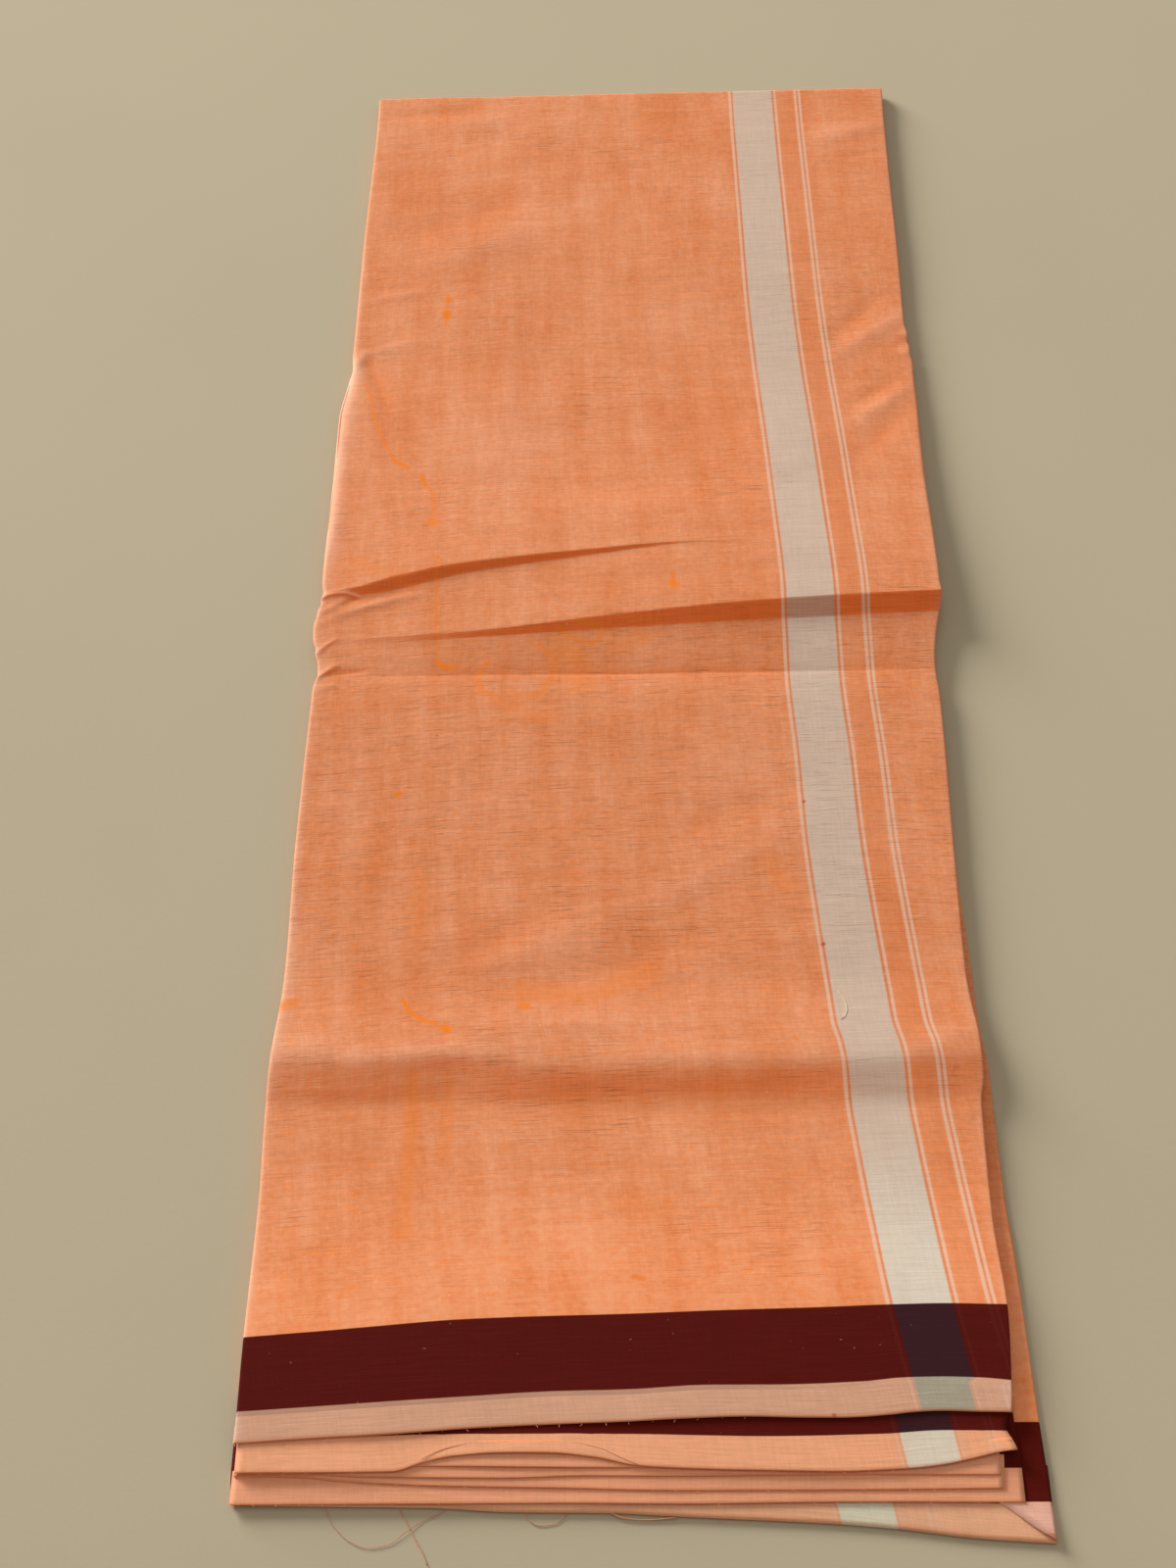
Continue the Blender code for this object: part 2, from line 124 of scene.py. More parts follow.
# Lines that cross the top leaf, from the far end to the near end.
# name, left x, right x, y and height (each at every station, as pairs of x and value, or one for all), sharp
TOP_LINES = (
    ("far edge of the flat", -158.6, 158.4, (453.0, 453.4, 453.8, 454.2, 454.6), 7.5, False),
    ("far slack", -158.0, 157.5, (414.6, 415.6, 416.6, 415.6, 414.6), (7.4, 7.6, 7.6, 7.6, 7.4), False),
    ("far middle", -158.8, 156.9, (318.0, 318.0, 317.8, 317.0, 316.3), (7.4, 7.7, 7.8, 7.7, 7.5), False),
    ("crease one", -158.3, 156.7, (203.6, 203.1, 202.5, 201.2, 200.0), (7.0, 6.9, 6.8, 6.9, 7.0), False),
    ("bulge of crease one", -162.3, 157.2,
     (157.9, 158.5, 159.1, 159.1, 159.1), (8.6, 8.2, 7.9, 8.0, 8.2), False),
    ("rise to the tucks", -161.6, 156.7,
     (105.9, 104.0, 102.2, 102.4, 102.5), (10.0, 10.1, 10.2, 10.2, 10.2), False),
    ("shoulder of the rise", -161.1, 157.3,
     (50.0, 66.0, 76.0, 72.0, 58.0), (12.0, 12.9, 13.0, 12.8, 12.8), False),
    ("crest of tuck one", -160.7, 157.2, TUCK_ONE_CREST, TUCK_ONE_CREST_HEIGHTS, True),
    ("foot of tuck one", -160.9, 157.3, TUCK_ONE_FOOT, TUCK_ONE_FOOT_HEIGHTS, True),
    ("crest of tuck two", -162.0, 156.8,
     (-12.0, -7.3, 2.3, 9.5, 13.5), (10.2, 11.7, 13.6, 15.2, 15.6), True),
    ("foot of tuck two", -161.2, 155.3,
     (-16.0, -10.6, -4.8, 0.2, 4.0), (10.0, 10.4, 10.3, 10.1, 10.1), True),
    ("valley", -159.3, 151.3, (-35.2, -33.7, -33.9, -33.6, -32.7), (9.2, 8.9, 7.8, 7.2, 7.1), True),
    ("rise after the valley", -160.2, 152.0,
     (-48.5, -49.6, -50.8, -51.9, -53.0), (9.4, 9.1, 8.5, 8.1, 7.9), False),
    ("slack", -160.8, 150.6, (-132.5, -133.6, -134.8, -137.9, -140.6), 7.4, False),
    ("start of crease three", -159.2, 149.6, (-214.0, -214.8, -215.4, -215.4, -215.4), 7.3, False),
    ("crest of crease three", -161.0, 152.1, CREST_THREE_LINE, (10.8, 11.0, 11.0, 11.0, 10.8), False),
    ("face of crease three", -161.3, 152.0, FACE_THREE_LINE, (9.1, 9.2, 9.2, 9.2, 9.1), False),
    ("foot of crease three", -161.2, 150.0, (-284.7, -286.8, -288.8, -289.0, -283.5), 7.5, False),
    ("near slack", -159.8, 149.3, (-336.2, -336.8, -337.3, -337.9, -338.4), 6.9, False),
    ("far edge of the band", -159.9, 151.1, BAND_FAR_LINE, 7.9, False),
    ("near edge of the band", -159.4, 149.3, BAND_NEAR_LINE, 7.8, False),
    ("hem", -159.3, 148.0, HEM_LINE, 7.5, False),
)
LINE_NAMES = [line[0] for line in TOP_LINES]
BAND_FAR_INDEX = LINE_NAMES.index("far edge of the band")
BAND_NEAR_INDEX = LINE_NAMES.index("near edge of the band")

# How the top leaf rounds down at its long edges.
# y, width and drop on the left, width and drop on the right
EDGE_ROUNDING = (
    (455.0, 1.2, 0.9, 1.0, 0.8), (330.0, 1.8, 1.2, 1.2, 1.0), (215.0, 3.0, 1.5, 1.3, 1.0),
    (190.0, 6.4, 2.9, 1.8, 1.3), (140.0, 6.8, 3.1, 1.8, 1.3), (80.0, 5.6, 2.8, 1.6, 1.3),
    (35.0, 2.2, 1.4, 1.0, 1.0), (-30.0, 1.6, 1.1, 1.0, 1.0), (-200.0, 1.8, 1.2, 1.0, 0.9),
    (-300.0, 1.6, 1.1, 0.9, 0.8), (-385.0, 1.2, 0.8, 0.6, 0.4), (-440.0, 0.9, 0.5, 0.5, 0.3),
)
# How the left edge puckers in and out at the ends of the tucks.
# y, shift
LEFT_PUCKERS = (
    (460.0, 0.0), (208.0, 0.0), (199.0, 0.9), (190.0, 0.0), (30.0, 0.0), (21.0, 1.1), (16.5, 0.5),
    (13.0, 0.9), (9.0, -0.2), (5.0, -0.3), (0.0, -1.1), (-8.0, -0.7), (-16.0, 0.5), (-20.0, 0.0),
    (-25.0, 0.9), (-34.0, 0.9), (-40.0, -0.4), (-50.0, 0.0), (-460.0, 0.0),
)
# How the right edge crumples in and out beside crease one.
# y, shift
RIGHT_PUCKERS = (
    (460.0, 0.0), (300.0, -0.2), (240.0, -1.0), (230.0, -1.1), (226.0, -0.5), (222.0, 0.0), (216.0, -0.3),
    (211.0, 0.5), (206.0, 0.1), (198.0, 1.3), (185.0, 0.8), (150.0, 0.2), (130.0, 0.0), (22.0, 0.0),
    (14.0, 0.8), (2.0, 0.5), (-8.0, 0.0), (-460.0, 0.0),
)
EDGE_ANGLES = (90.0, 68.0, 46.0, 24.0, 0.0)

# How pale the cloth is painted at its folded left edge: a painted highlight where the edge rolls towards the
# light.
# y, share, width
LEFT_HIGHLIGHT = (
    (460.0, 0.25, 2.0), (330.0, 0.3, 2.2), (215.0, 0.45, 3.0), (196.0, 0.95, 5.0), (120.0, 0.8, 6.0),
    (60.0, 0.75, 6.0), (24.0, 0.5, 3.0), (-40.0, 0.5, 2.4), (-130.0, 0.45, 3.0), (-250.0, 0.5, 4.0),
    (-300.0, 0.3, 2.4), (-440.0, 0.4, 2.4),
)
# Paler cloth along the right edge: its width and share. How much of the crease height is painted as a
# highlight on crests and as shade in hollows. How fast the left edge's painted highlight fades.
RIGHT_EDGE_PALE_WIDTH = 1.6
RIGHT_EDGE_PALE = 0.25
CREST_HIGHLIGHT_AND_SHADE = 0.2
LEFT_HIGHLIGHT_FADE = 1.5

# Small creases on the top leaf. A positive bow bends one to the left of its way.
# name, start, end, bow, height, width on its left and on its right, power (1 a sharp ridge, 2 a soft one)
CREASES = (
    ("lip over tuck one's end", (-163.0, 14.0), (-139.0, 16.6), 4.6, 0.9, 1.7, 1.2, 1.5),
    ("gap under the first lip", (-154.0, 10.0), (-136.0, 17.8), 1.0, -0.7, 1.6, 1.1, 1.6),
    ("second lip", (-162.5, 5.5), (-145.5, 15.8), 0.2, 0.75, 1.5, 1.1, 1.5),
    ("fork of the second lip", (-156.0, 8.8), (-145.5, 12.2), 0.4, 0.4, 1.0, 0.9, 1.5),
    ("long soft lip", (-163.5, -2.0), (-104.0, 20.5), 2.4, 0.85, 3.2, 2.0, 1.4),
    ("hollow over the long lip", (-150.0, 9.0), (-108.0, 25.0), 2.0, -0.4, 3.0, 3.0, 2.0),
    ("thin lip", (-161.5, -23.0), (-148.5, -9.5), 1.3, 0.6, 1.3, 1.0, 1.4),
    ("lip at the valley", (-160.5, -38.0), (-146.5, -26.0), 0.3, 0.95, 1.5, 0.9, 1.4),
    ("wedge beside that lip", (-154.5, -34.8), (-132.0, -31.8), 0.5, -0.7, 2.6, 0.8, 1.4),
    ("slack under the valley lip", (-162.0, -46.0), (-146.0, -40.5), 1.0, 0.4, 1.8, 1.8, 1.8),
    ("trough at crease one", (111.0, 214.0), (148.0, 259.0), 1.0, -0.75, 6.0, 6.0, 2.0),
    ("ridge at crease one", (114.0, 203.0), (162.0, 242.0), 1.0, 0.8, 5.5, 6.5, 2.0),
    ("second trough", (119.0, 158.0), (152.0, 184.0), 1.0, -0.6, 5.0, 5.0, 2.0),
    ("second ridge", (119.0, 145.0), (156.0, 180.0), -1.0, 0.7, 4.5, 6.0, 1.8),
    ("third trough", (121.0, 112.0), (152.0, 156.0), 2.0, -0.75, 8.0, 8.0, 2.0),
    ("nick at the right edge", (150.0, 212.5), (162.0, 216.5), 0.0, -0.9, 1.4, 1.6, 2.0),
    ("bead at the right edge", (150.5, 220.0), (162.0, 223.0), 0.0, 0.6, 2.4, 2.0, 2.0),
    ("second bead", (148.0, 203.0), (162.0, 209.0), 0.0, 0.7, 2.2, 2.6, 1.6),
    ("left fan ridge", (-164.0, 186.0), (-148.0, 214.0), 1.0, 1.1, 2.6, 2.6, 1.5),
    ("left fan trough", (-153.0, 212.0), (-133.0, 158.0), 1.0, -0.7, 3.2, 3.6, 2.0),
    ("left far ridge", (-164.0, 253.0), (-108.0, 269.0), 1.0, 0.45, 2.0, 2.6, 1.5),
    ("left far ridge below", (-164.0, 205.0), (-104.0, 226.0), 1.5, 0.45, 3.0, 3.0, 1.6),
    ("crease at the far right", (122.0, 384.6), (162.0, 390.6), 0.6, -0.6, 1.2, 1.6, 1.6),
    ("swell at the far right", (112.0, 402.0), (160.0, 418.0), 2.0, 0.7, 7.0, 7.0, 2.0),
    ("dip at the far left", (-140.0, 312.0), (-58.0, 354.0), -3.0, -0.65, 11.0, 12.0, 2.0),
    ("swell at the far left", (-130.0, 286.0), (-50.0, 322.0), -3.0, 0.5, 11.0, 11.0, 2.0),
    ("far corner fold", (-158.0, 438.0), (-92.0, 442.0), -3.0, -0.6, 5.0, 6.0, 2.0),
    ("far corner swell", (-120.0, 424.0), (-70.0, 434.0), -2.0, 0.5, 7.0, 7.0, 2.0),
    ("pressed line on the left", (-64.6, 425.0), (-66.4, 130.0), 0.0, 0.45, 1.6, 4.0, 1.3),
    ("pressed line in the middle", (15.0, 425.0), (15.4, 150.0), 0.0, -0.22, 1.6, 1.6, 1.6),
    ("pressed line across", (-156.0, 413.5), (120.0, 409.0), 0.0, 0.14, 1.2, 2.4, 1.4),
    ("pressed line on the near left", (-99.0, -268.0), (-97.0, -372.0), 0.0, -0.16, 1.6, 1.6, 1.6),
    ("first soft fold", (-92.0, -210.0), (-22.0, -168.0), -2.0, -0.55, 8.0, 6.0, 2.0),
    ("ridge under the first soft fold", (-80.0, -216.0), (-10.0, -184.0), -2.0, 0.45, 6.0, 8.0, 2.0),
    ("second soft fold", (-52.0, -230.0), (52.0, -188.0), 2.0, -0.50, 8.0, 7.0, 2.0),
    ("slanted ridge", (-12.0, -184.0), (84.0, -128.0), -3.0, 0.50, 7.0, 7.0, 2.0),
    ("trough beyond the slanted ridge", (16.0, -140.0), (86.0, -108.0), 1.0, -0.45, 8.0, 7.0, 2.0),
    ("swell before crease three", (-78.0, -246.0), (18.0, -244.0), 1.0, 0.45, 8.0, 6.0, 2.0),
    ("left swell before crease three", (-165.0, -257.0), (-128.0, -254.0), 0.0, 0.55, 6.0, 5.0, 2.0),
    ("slack by the right edge", (116.0, -262.0), (158.0, -244.0), 0.0, 0.60, 7.0, 7.0, 2.0),
    ("near right dip", (120.0, -330.0), (156.0, -318.0), 0.0, -0.35, 9.0, 9.0, 2.0),
    ("lift of the hem corner", (150.0, -452.0), (150.0, -395.0), 0.0, 0.35, 12.0, 12.0, 2.0),
    ("valley line", (-158.0, -35.2), (158.0, -32.6), 0.0, -0.75, 5.0, 1.5, 1.0),
    ("crease three's crest on the left", (-166.0, -262.5), (-40.0, -259.5), 1.5, 0.8, 6.0, 5.0, 1.6),
    ("crease three's crest on the right", (-60.0, -263.0), (160.0, -261.0), 0.0, 0.45, 6.0, 5.0, 1.6),
    ("crease three's foot", (-168.0, -281.0), (160.0, -279.0), 0.0, -0.85, 6.0, 9.0, 1.6),
    ("plateau dip", (-40.0, 20.0), (120.0, 30.0), 2.0, -0.30, 7.0, 7.0, 2.0),
    ("soft rise left of centre", (-70.0, 60.0), (-70.0, 190.0), 4.0, 0.55, 22.0, 24.0, 2.0),
    ("soft hollow right of centre", (40.0, 70.0), (40.0, 200.0), -4.0, -0.50, 22.0, 22.0, 2.0),
    ("soft rise at the silver stripe", (92.0, 70.0), (92.0, 190.0), 3.0, 0.45, 16.0, 16.0, 2.0),
)

# Left edge of the silver stripe on the top leaf.
# y, x
SILVER_EDGE = (
    (460.0, 64.5), (428.0, 64.8), (339.0, 66.4), (258.0, 68.0), (198.0, 70.4), (133.0, 74.0), (73.0, 76.6),
    (16.0, 78.6), (-37.0, 78.6), (-88.0, 80.8), (-136.0, 82.2), (-182.0, 85.2), (-225.0, 88.6),
    (-243.0, 89.8), (-255.0, 92.2), (-266.0, 93.4), (-282.0, 93.9), (-306.0, 96.2), (-343.0, 100.4),
    (-379.0, 104.8), (-412.0, 110.6), (-440.0, 116.0),
)

# Ends of the leaves under the top one. The cloth that they show starts under it.
LEAF_START = -386.0
SILVER_SLANT = -0.16
# name, node (None for an inner ply), slot, height of its face, left x, right edge as y and x, hem as x and y,
# lift of the hem as x and height, silver stripe's left x at its hem (None where it shows none), width of that
# stripe as a share of its true one
LEAF_ENDS = (
    (
        "second_leaf", "leaf_second", "leaf_second",
        6.2, -157.6,
        ((-386.0, 147.5), (-424.0, 147.0), (-432.0, 145.4), (-436.6, 147.4), (-441.0, 149.0)),
        (
            (-157.6, -448.8), (-122.8, -448.7), (-95.8, -448.4), (-83.7, -444.8), (-72.2, -442.4),
            (-53.0, -441.2), (-34.1, -441.3), (-16.0, -443.1), (0.5, -446.4), (19.3, -447.5),
            (49.8, -448.4), (80.3, -448.9), (104.7, -447.9), (118.1, -446.6), (130.5, -444.2),
            (143.4, -441.3), (149.0, -440.7),
        ),
        ((-157.6, 0.0), (-100.0, 0.0), (-45.0, 0.9), (0.0, 0.1), (110.0, 0.0), (149.0, 1.0)),
        105.8, 0.86,
    ),
    (
        "second_leaf_inner_ply", None, "leaf_second",
        5.55, -156.9,
        ((-386.0, 145.5), (-448.0, 140.0)),
        (
            (-156.9, -446.0), (-95.9, -447.2), (-83.7, -446.0), (-49.8, -446.4), (-16.0, -446.8),
            (19.3, -446.8), (80.0, -446.9), (140.0, -440.0),
        ),
        ((-156.9, 0.0), (-100.0, 0.0), (-45.0, 0.3), (0.0, 0.0), (140.0, 0.0)),
        None, 1.0,
    ),
    (
        "third_leaf_inner_ply", None, "leaf_third",
        5.0, -158.0,
        ((-386.0, 142.0), (-449.0, 142.0)),
        (
            (-158.0, -448.6), (-132.2, -448.4), (-112.8, -449.8), (-91.2, -450.2), (-52.8, -450.6),
            (-19.0, -449.8), (19.2, -450.1), (76.5, -449.7), (142.0, -449.9),
        ),
        ((-158.0, -0.22), (142.0, -0.22)),
        None, 1.0,
    ),
    (
        "third_leaf", "leaf_third", "leaf_third",
        4.5, -158.4,
        ((-386.0, 143.0), (-440.0, 143.7), (-456.0, 142.3)),
        (
            (-158.4, -449.2), (-132.2, -449.8), (-116.5, -451.4), (-80.3, -453.3), (-34.3, -454.3),
            (19.1, -455.6), (95.1, -455.5), (142.4, -455.1),
        ),
        ((-158.4, -0.5), (142.4, -0.5)),
        None, 1.0,
    ),
    (
        "fourth_leaf", "leaf_fourth", "leaf_fourth",
        3.35, -159.2,
        ((-386.0, 148.0), (-431.0, 149.4), (-445.4, 150.2), (-461.0, 150.3)),
        (
            (-159.2, -460.5), (-95.4, -460.3), (-34.2, -460.1), (19.0, -460.6), (79.7, -460.0),
            (150.3, -460.3),
        ),
        ((-159.2, -0.3), (150.3, -0.3)),
        None, 1.0,
    ),
)
SECOND_BAND_EDGE = (
    (-157.6, -434.6), (-120.0, -434.0), (-89.0, -433.4), (-3.7, -433.3), (50.3, -434.3), (96.6, -433.3),
    (119.8, -431.8), (149.0, -432.3),
)
NO_STRIPES = 500.0
LEAF_COLUMNS = 118
LEAF_ROWS = 30

# Outline of the bottom leaf.
# y, left x, right x
BOTTOM_OUTLINE = (
    (444.0, -157.0, 156.0), (203.0, -157.0, 155.4), (120.0, -160.0, 155.4), (20.0, -160.0, 156.0),
    (-34.0, -158.4, 150.4), (-100.0, -159.4, 150.2), (-156.0, -159.4, 151.2), (-211.0, -158.4, 152.7),
    (-244.0, -158.8, 153.5), (-267.0, -160.0, 155.6), (-300.0, -160.0, 155.7), (-330.0, -159.4, 156.0),
    (-358.0, -159.4, 157.5), (-385.0, -159.8, 158.2), (-426.0, -160.4, 159.4), (-447.0, -160.2, 160.2),
    (-460.0, -159.2, 160.6), (-477.0, -159.2, 160.8),
)
# Hem of the lower ply, and end of the upper ply, which turns in across the right corner.
# x, y
BOTTOM_HEM = (
    (-159.2, -459.6), (-134.0, -460.3), (-80.2, -461.2), (-49.6, -462.9), (-11.4, -463.4), (19.0, -465.0),
    (75.6, -467.9), (98.9, -469.9), (131.6, -473.9), (160.8, -475.9),
)
UPPER_PLY_END = (
    (-159.2, -455.0), (134.0, -457.0), (142.0, -461.3), (149.0, -466.9), (154.6, -471.4), (160.8, -475.5),
)
BOTTOM_SILVER = (-464.1, 78.4)
BOTTOM_SILVER_SHARE = 0.885
UPPER_PLY_HEM = -473.3
BOTTOM_COLUMNS = 96
# Rows of a ply, as shares of the way from its end line to its far end, closer together at the near end.
BOTTOM_ROWS = np.concatenate([np.linspace(1.0, 0.06, 150), np.linspace(0.06, 0.0, 13)[1:]])
BOTTOM_END = -460.0
DOUBLED = 2.3
HEM_PLY_TOP = 1.9
# Where the doubled ply thins to its turned hem, and the way that this takes.
HEM_PLY_START = -462.0
HEM_PLY_FADE = 12.0
# How the turned-in corner rises towards its tip: its left x, width, far y, length and rise.
CORNER = (138.0, 22.8, -458.0, 17.4, 1.5)
# How far the hem goes back under the lower ply, row by row.
BOTTOM_HEM_RETURNS = (4.0, 9.0, 14.0, 20.0, 30.0)

# A turned hem: angles of its rows round the fold, and how far it goes back on the top leaf and on the others.
HEM_ANGLES = (30.0, 60.0, 90.0, 120.0, 150.0, 180.0)
TOP_HEM_RETURN = 7.0
LEAF_HEM_RETURN = 5.0
# Hem radius and wall of the leaf ends and of the thinner inner plies, as shares of the top leaf's.
LEAF_HEM_SHARE = 0.68
INNER_HEM_SHARE = 0.55
INNER_WALL_SHARE = 0.75
# How the rows of a leaf end crowd towards its hem, and how late its lift sets in.
LEAF_CROWDING = 0.8
LEAF_LIFT_POWER = 4

# Broad and fine crinkles: length across, length along, share of their height.
BROAD_CRINKLE = (62.0, 44.0, 3.6)
FINE_CRINKLE = (15.0, 10.0, 0.8)
LEAF_CRINKLE_SHARE = 0.5
BOTTOM_CRINKLE_SHARE = 0.3
TOP_CRINKLE_SEED = 3.0
BOTTOM_CRINKLE_SEED = 21.0
# How late a small crease fades towards its ends.
CREASE_FADE = 0.75

# Hidden layers.
# height of the middle of the doubled layer, how much of the top leaf's rise it follows, inset of its folds
HIDDEN_LAYERS = ((3.3, 0.16, 1.0), (4.65, 0.5, 1.6), (6.0, 0.86, 0.7))
HIDDEN_NEAR = -385.5
HIDDEN_FAR = 451.5
# Half the thickness of a doubled layer, its least way under the top leaf, and that leaf's height where flat.
HIDDEN_HALF = 0.6
HIDDEN_CLEAR = 0.75
FLAT_TOP = 7.4
HIDDEN_CORNER = (90.0, 60.0, 30.0, 0.0, -30.0, -60.0, -90.0)
HIDDEN_STEP = 4.0
HIDDEN_COLUMNS = 14
HIDDEN_WALL_SHARE = 0.8
# How the folds of the hidden layers wander: length of a turn, reach, and offsets of each layer and side.
WANDER_LENGTH = 46.0
WANDER_REACH = 0.9
WANDER_LAYER = 3.1
WANDER_SIDES = (1.7, 7.7)
# Chart of the hidden layers: the silver stripe's left x, and the y that counts as the hem.
HIDDEN_CHART = (90.0, -600.0)

# Where a mark starts to fade and where it ends, as shares of its half width.
MARK_SOFTNESS = (0.2, 1.7)
# Orange marks in the cloth.
# half width, strength, points on the plan
MARKS = (
    (1.0, 1.0, ((-104.2, -228.3), (-100.8, -235.6), (-94.5, -240.4), (-88.5, -242.7))),
    (2.5, 1.0, ((-84.4, -245.1), (-83.4, -246.2))),
    (1.7, 1.0, ((-105.9, 258.0), (-105.8, 256.4))),
    (2.7, 1.0, ((-106.3, 246.0), (-106.2, 242.4))),
    (0.9, 0.7, ((-106.1, 262.0), (-106.6, 236.0))),
    (0.8, 0.3, ((-106.6, 236.0), (-107.1, 205.0))),
    (1.0, 0.5, ((-149.2, 186.1), (-145.9, 174.8), (-142.1, 154.5), (-134.6, 134.4), (-128.8, 120.9))),
    (1.5, 0.9, ((-128.8, 120.9), (-121.8, 115.5))),
    (1.5, 0.9, ((-113.5, 108.3), (-110.6, 100.5))),
    (1.2, 0.5, ((-110.6, 100.5), (-106.1, 93.4), (-104.8, 81.4), (-105.5, 72.5))),
    (2.8, 0.75, ((-106.1, 71.2), (-104.7, 69.8))),
    (1.0, 0.5, ((-101.1, 44.0), (-101.0, 27.4), (-99.7, -9.1), (-98.0, -25.7))),
    (1.8, 0.9, ((-98.0, -25.7), (-95.8, -29.0), (-90.1, -29.7))),
    (1.8, 0.5, ((-72.4, -26.1), (-76.3, -30.4), (-77.7, -36.9), (-75.7, -45.5), (-69.1, -48.9))),
    (2.7, 0.38, ((-47.4, -16.2), (-38.4, -25.4), (-40.4, -37.0), (-46.7, -48.5), (-59.8, -49.8))),
    (1.5, 0.6,
     ((-36.4, -5.8), (-29.7, -12.0), (-20.8, -15.7), (-15.3, -9.1), (-18.7, -3.7), (-27.7, -1.5))),
    (2.3, 1.0, ((21.7, 21.0), (20.7, 22.6))),
    (1.2, 0.8, ((20.9, 25.0), (20.6, 29.0))),
    (1.7, 0.9, ((-113.8, -109.8), (-112.6, -109.8))),
    (2.0, 0.9, ((-50.2, -232.0), (-48.6, -232.6))),
    (2.8, 0.6, ((-160.0, -231.6), (-153.6, -230.4))),
    (3.7, 0.40, ((-97.5, -270.0), (-97.0, -292.0), (-98.2, -345.0))),
    (2.8, 0.25, ((-81.0, -270.0), (-82.0, -310.0))),
    (5.8, 0.32, ((-52.0, -224.0), (-20.0, -227.0), (6.0, -214.0))),
    (4.6, 0.26, ((62.0, -150.0), (70.0, -166.0))),
    (4.1, 0.30, ((-66.0, -52.0), (-52.0, -63.0), (-40.0, -62.0))),
    (1.2, 0.7, ((-1.0, -366.0), (3.0, -367.0))),
    (8.0, 0.34, ((-34.0, -14.0), (-26.0, -40.0))),
    (5.8, 0.32, ((-8.0, -18.0), (6.0, -10.0))),
    (4.6, 0.24, ((-100.0, -160.0), (-99.0, -190.0))),
    (4.6, 0.22, ((-142.0, 40.0), (-120.0, 30.0))),
    (5.8, 0.20, ((-6.0, -330.0), (10.0, -334.0))),
)
RED_SPECKS = (
    (0.7, 1.0, ((81.2, -116.9), (81.6, -116.6))),
    (0.8, 1.0, ((85.9, -199.9), (86.4, -199.6))),
    (0.6, 0.6, ((-96.5, -74.1), (-96.1, -74.1))),
    (0.7, 0.8, ((77.9, -426.4), (78.3, -426.4))),
)

# Loose threads.
# name, radius, points on the plan and their heights
THREADS = (
    (
        "thread_loop", 0.13,
        (
            (-121.6, -458.8, 0.9), (-121.3, -461.3, 0.5), (-119.4, -466.0, 0.2), (-116.1, -470.1, 0.2),
            (-110.5, -474.6, 0.2), (-104.1, -476.7, 0.2), (-96.3, -475.4, 0.2), (-89.3, -470.0, 0.5),
            (-82.5, -465.6, 0.2), (-76.3, -462.9, 0.4), (-74.0, -460.4, 0.8),
        ),
    ),
    (
        "thread_straight", 0.2,
        (
            (-93.0, -458.8, 0.8), (-92.3, -461.5, 0.5), (-90.4, -465.3, 0.2), (-88.4, -469.0, 0.2),
            (-86.0, -473.4, 0.2), (-83.2, -478.1, 0.2), (-80.7, -483.5, 0.2),
        ),
    ),
    (
        "thread_middle", 0.16,
        ((-43.8, -461.0, 0.8), (-42.6, -465.0, 0.3), (-38.0, -468.0, 0.2),
         (-32.3, -467.4, 0.2), (-27.0, -463.6, 0.4)),
    ),
    (
        "thread_right", 0.28,
        ((-12.6, -461.6, 1.3), (-9.6, -463.6, 1.1), (-4.7, -465.4, 0.7),
         (3.8, -466.0, 0.6), (15.2, -465.2, 1.0)),
    ),
    (
        "thread_on_the_second_leaf", 0.12,
        (
            (-84.5, -443.6, 6.6), (-79.0, -440.6, 6.6), (-71.3, -438.2, 6.6), (-62.0, -436.6, 6.6),
            (-53.5, -436.0, 6.6), (-38.0, -436.2, 6.6), (-22.6, -437.4, 6.6), (-14.0, -439.4, 6.5),
            (-6.0, -443.2, 6.5), (0.5, -446.0, 6.5),
        ),
    ),
    (
        "thread_on_the_silver", 0.14,
        ((91.0, -226.0, 8.1), (93.6, -230.5, 8.3), (94.6, -236.0, 8.9),
         (93.2, -240.5, 9.4), (91.4, -241.5, 9.6)),
    ),
)
THREAD_SIDES = 6
THREAD_STEPS = 5

# Slopes, facing the near end and so turned from the light, at which the cloth starts to be painted a deeper
# orange as shade, and at which it is fully so.
PAINTED_SHADE_FROM = 0.05
PAINTED_SHADE_TO = 0.48

# Rows and columns of the top leaf's net.
FINE_STEP = 0.7
COARSE_STEP = 2.5
STEP_GROWTH = 0.14
# Columns of that net: number of columns up to a share of the width, and that share.
COLUMN_SPANS = ((0, 0.0), (34, 0.14), (84, 0.86), (104, 1.0))
SHARE_STEPS = 61
ROLL_STEPS = 12
ROLL_RADIUS = 3.75
TAIL_Y = 444.3

CAMERA_PLACE = (9.49, -816.57, 889.62)
CAMERA_TILT = math.radians(38.934)
CAMERA_YAW = math.radians(2.524)
CAMERA_ROLL = math.radians(-2.623)
CAMERA_LENS = 54.0
CAMERA_SENSOR = 36.0


def from_screen(red, green, blue):
    """A colour as a screen shows it, from 0 to 255, as the linear colour that a finish takes."""
    values = []
    for part in (red, green, blue):
        share = part / 255
        values.append(share / 12.92 if share <= 0.04045 else ((share + 0.055) / 1.055) ** 2.4)
    return (*values, 1.0)


def length_setting(name, description, default):
    """A length in millimetres that the panel shows."""
    return FloatProperty(name=name, description=description, default=default * MM, min=0.0, unit="LENGTH")


def colour_setting(name, description, *screen):
    """A colour that the panel shows, given as a screen shows it."""
    return FloatVectorProperty(
        name=name, description=description, subtype="COLOR", size=4, default=from_screen(*screen)
    )


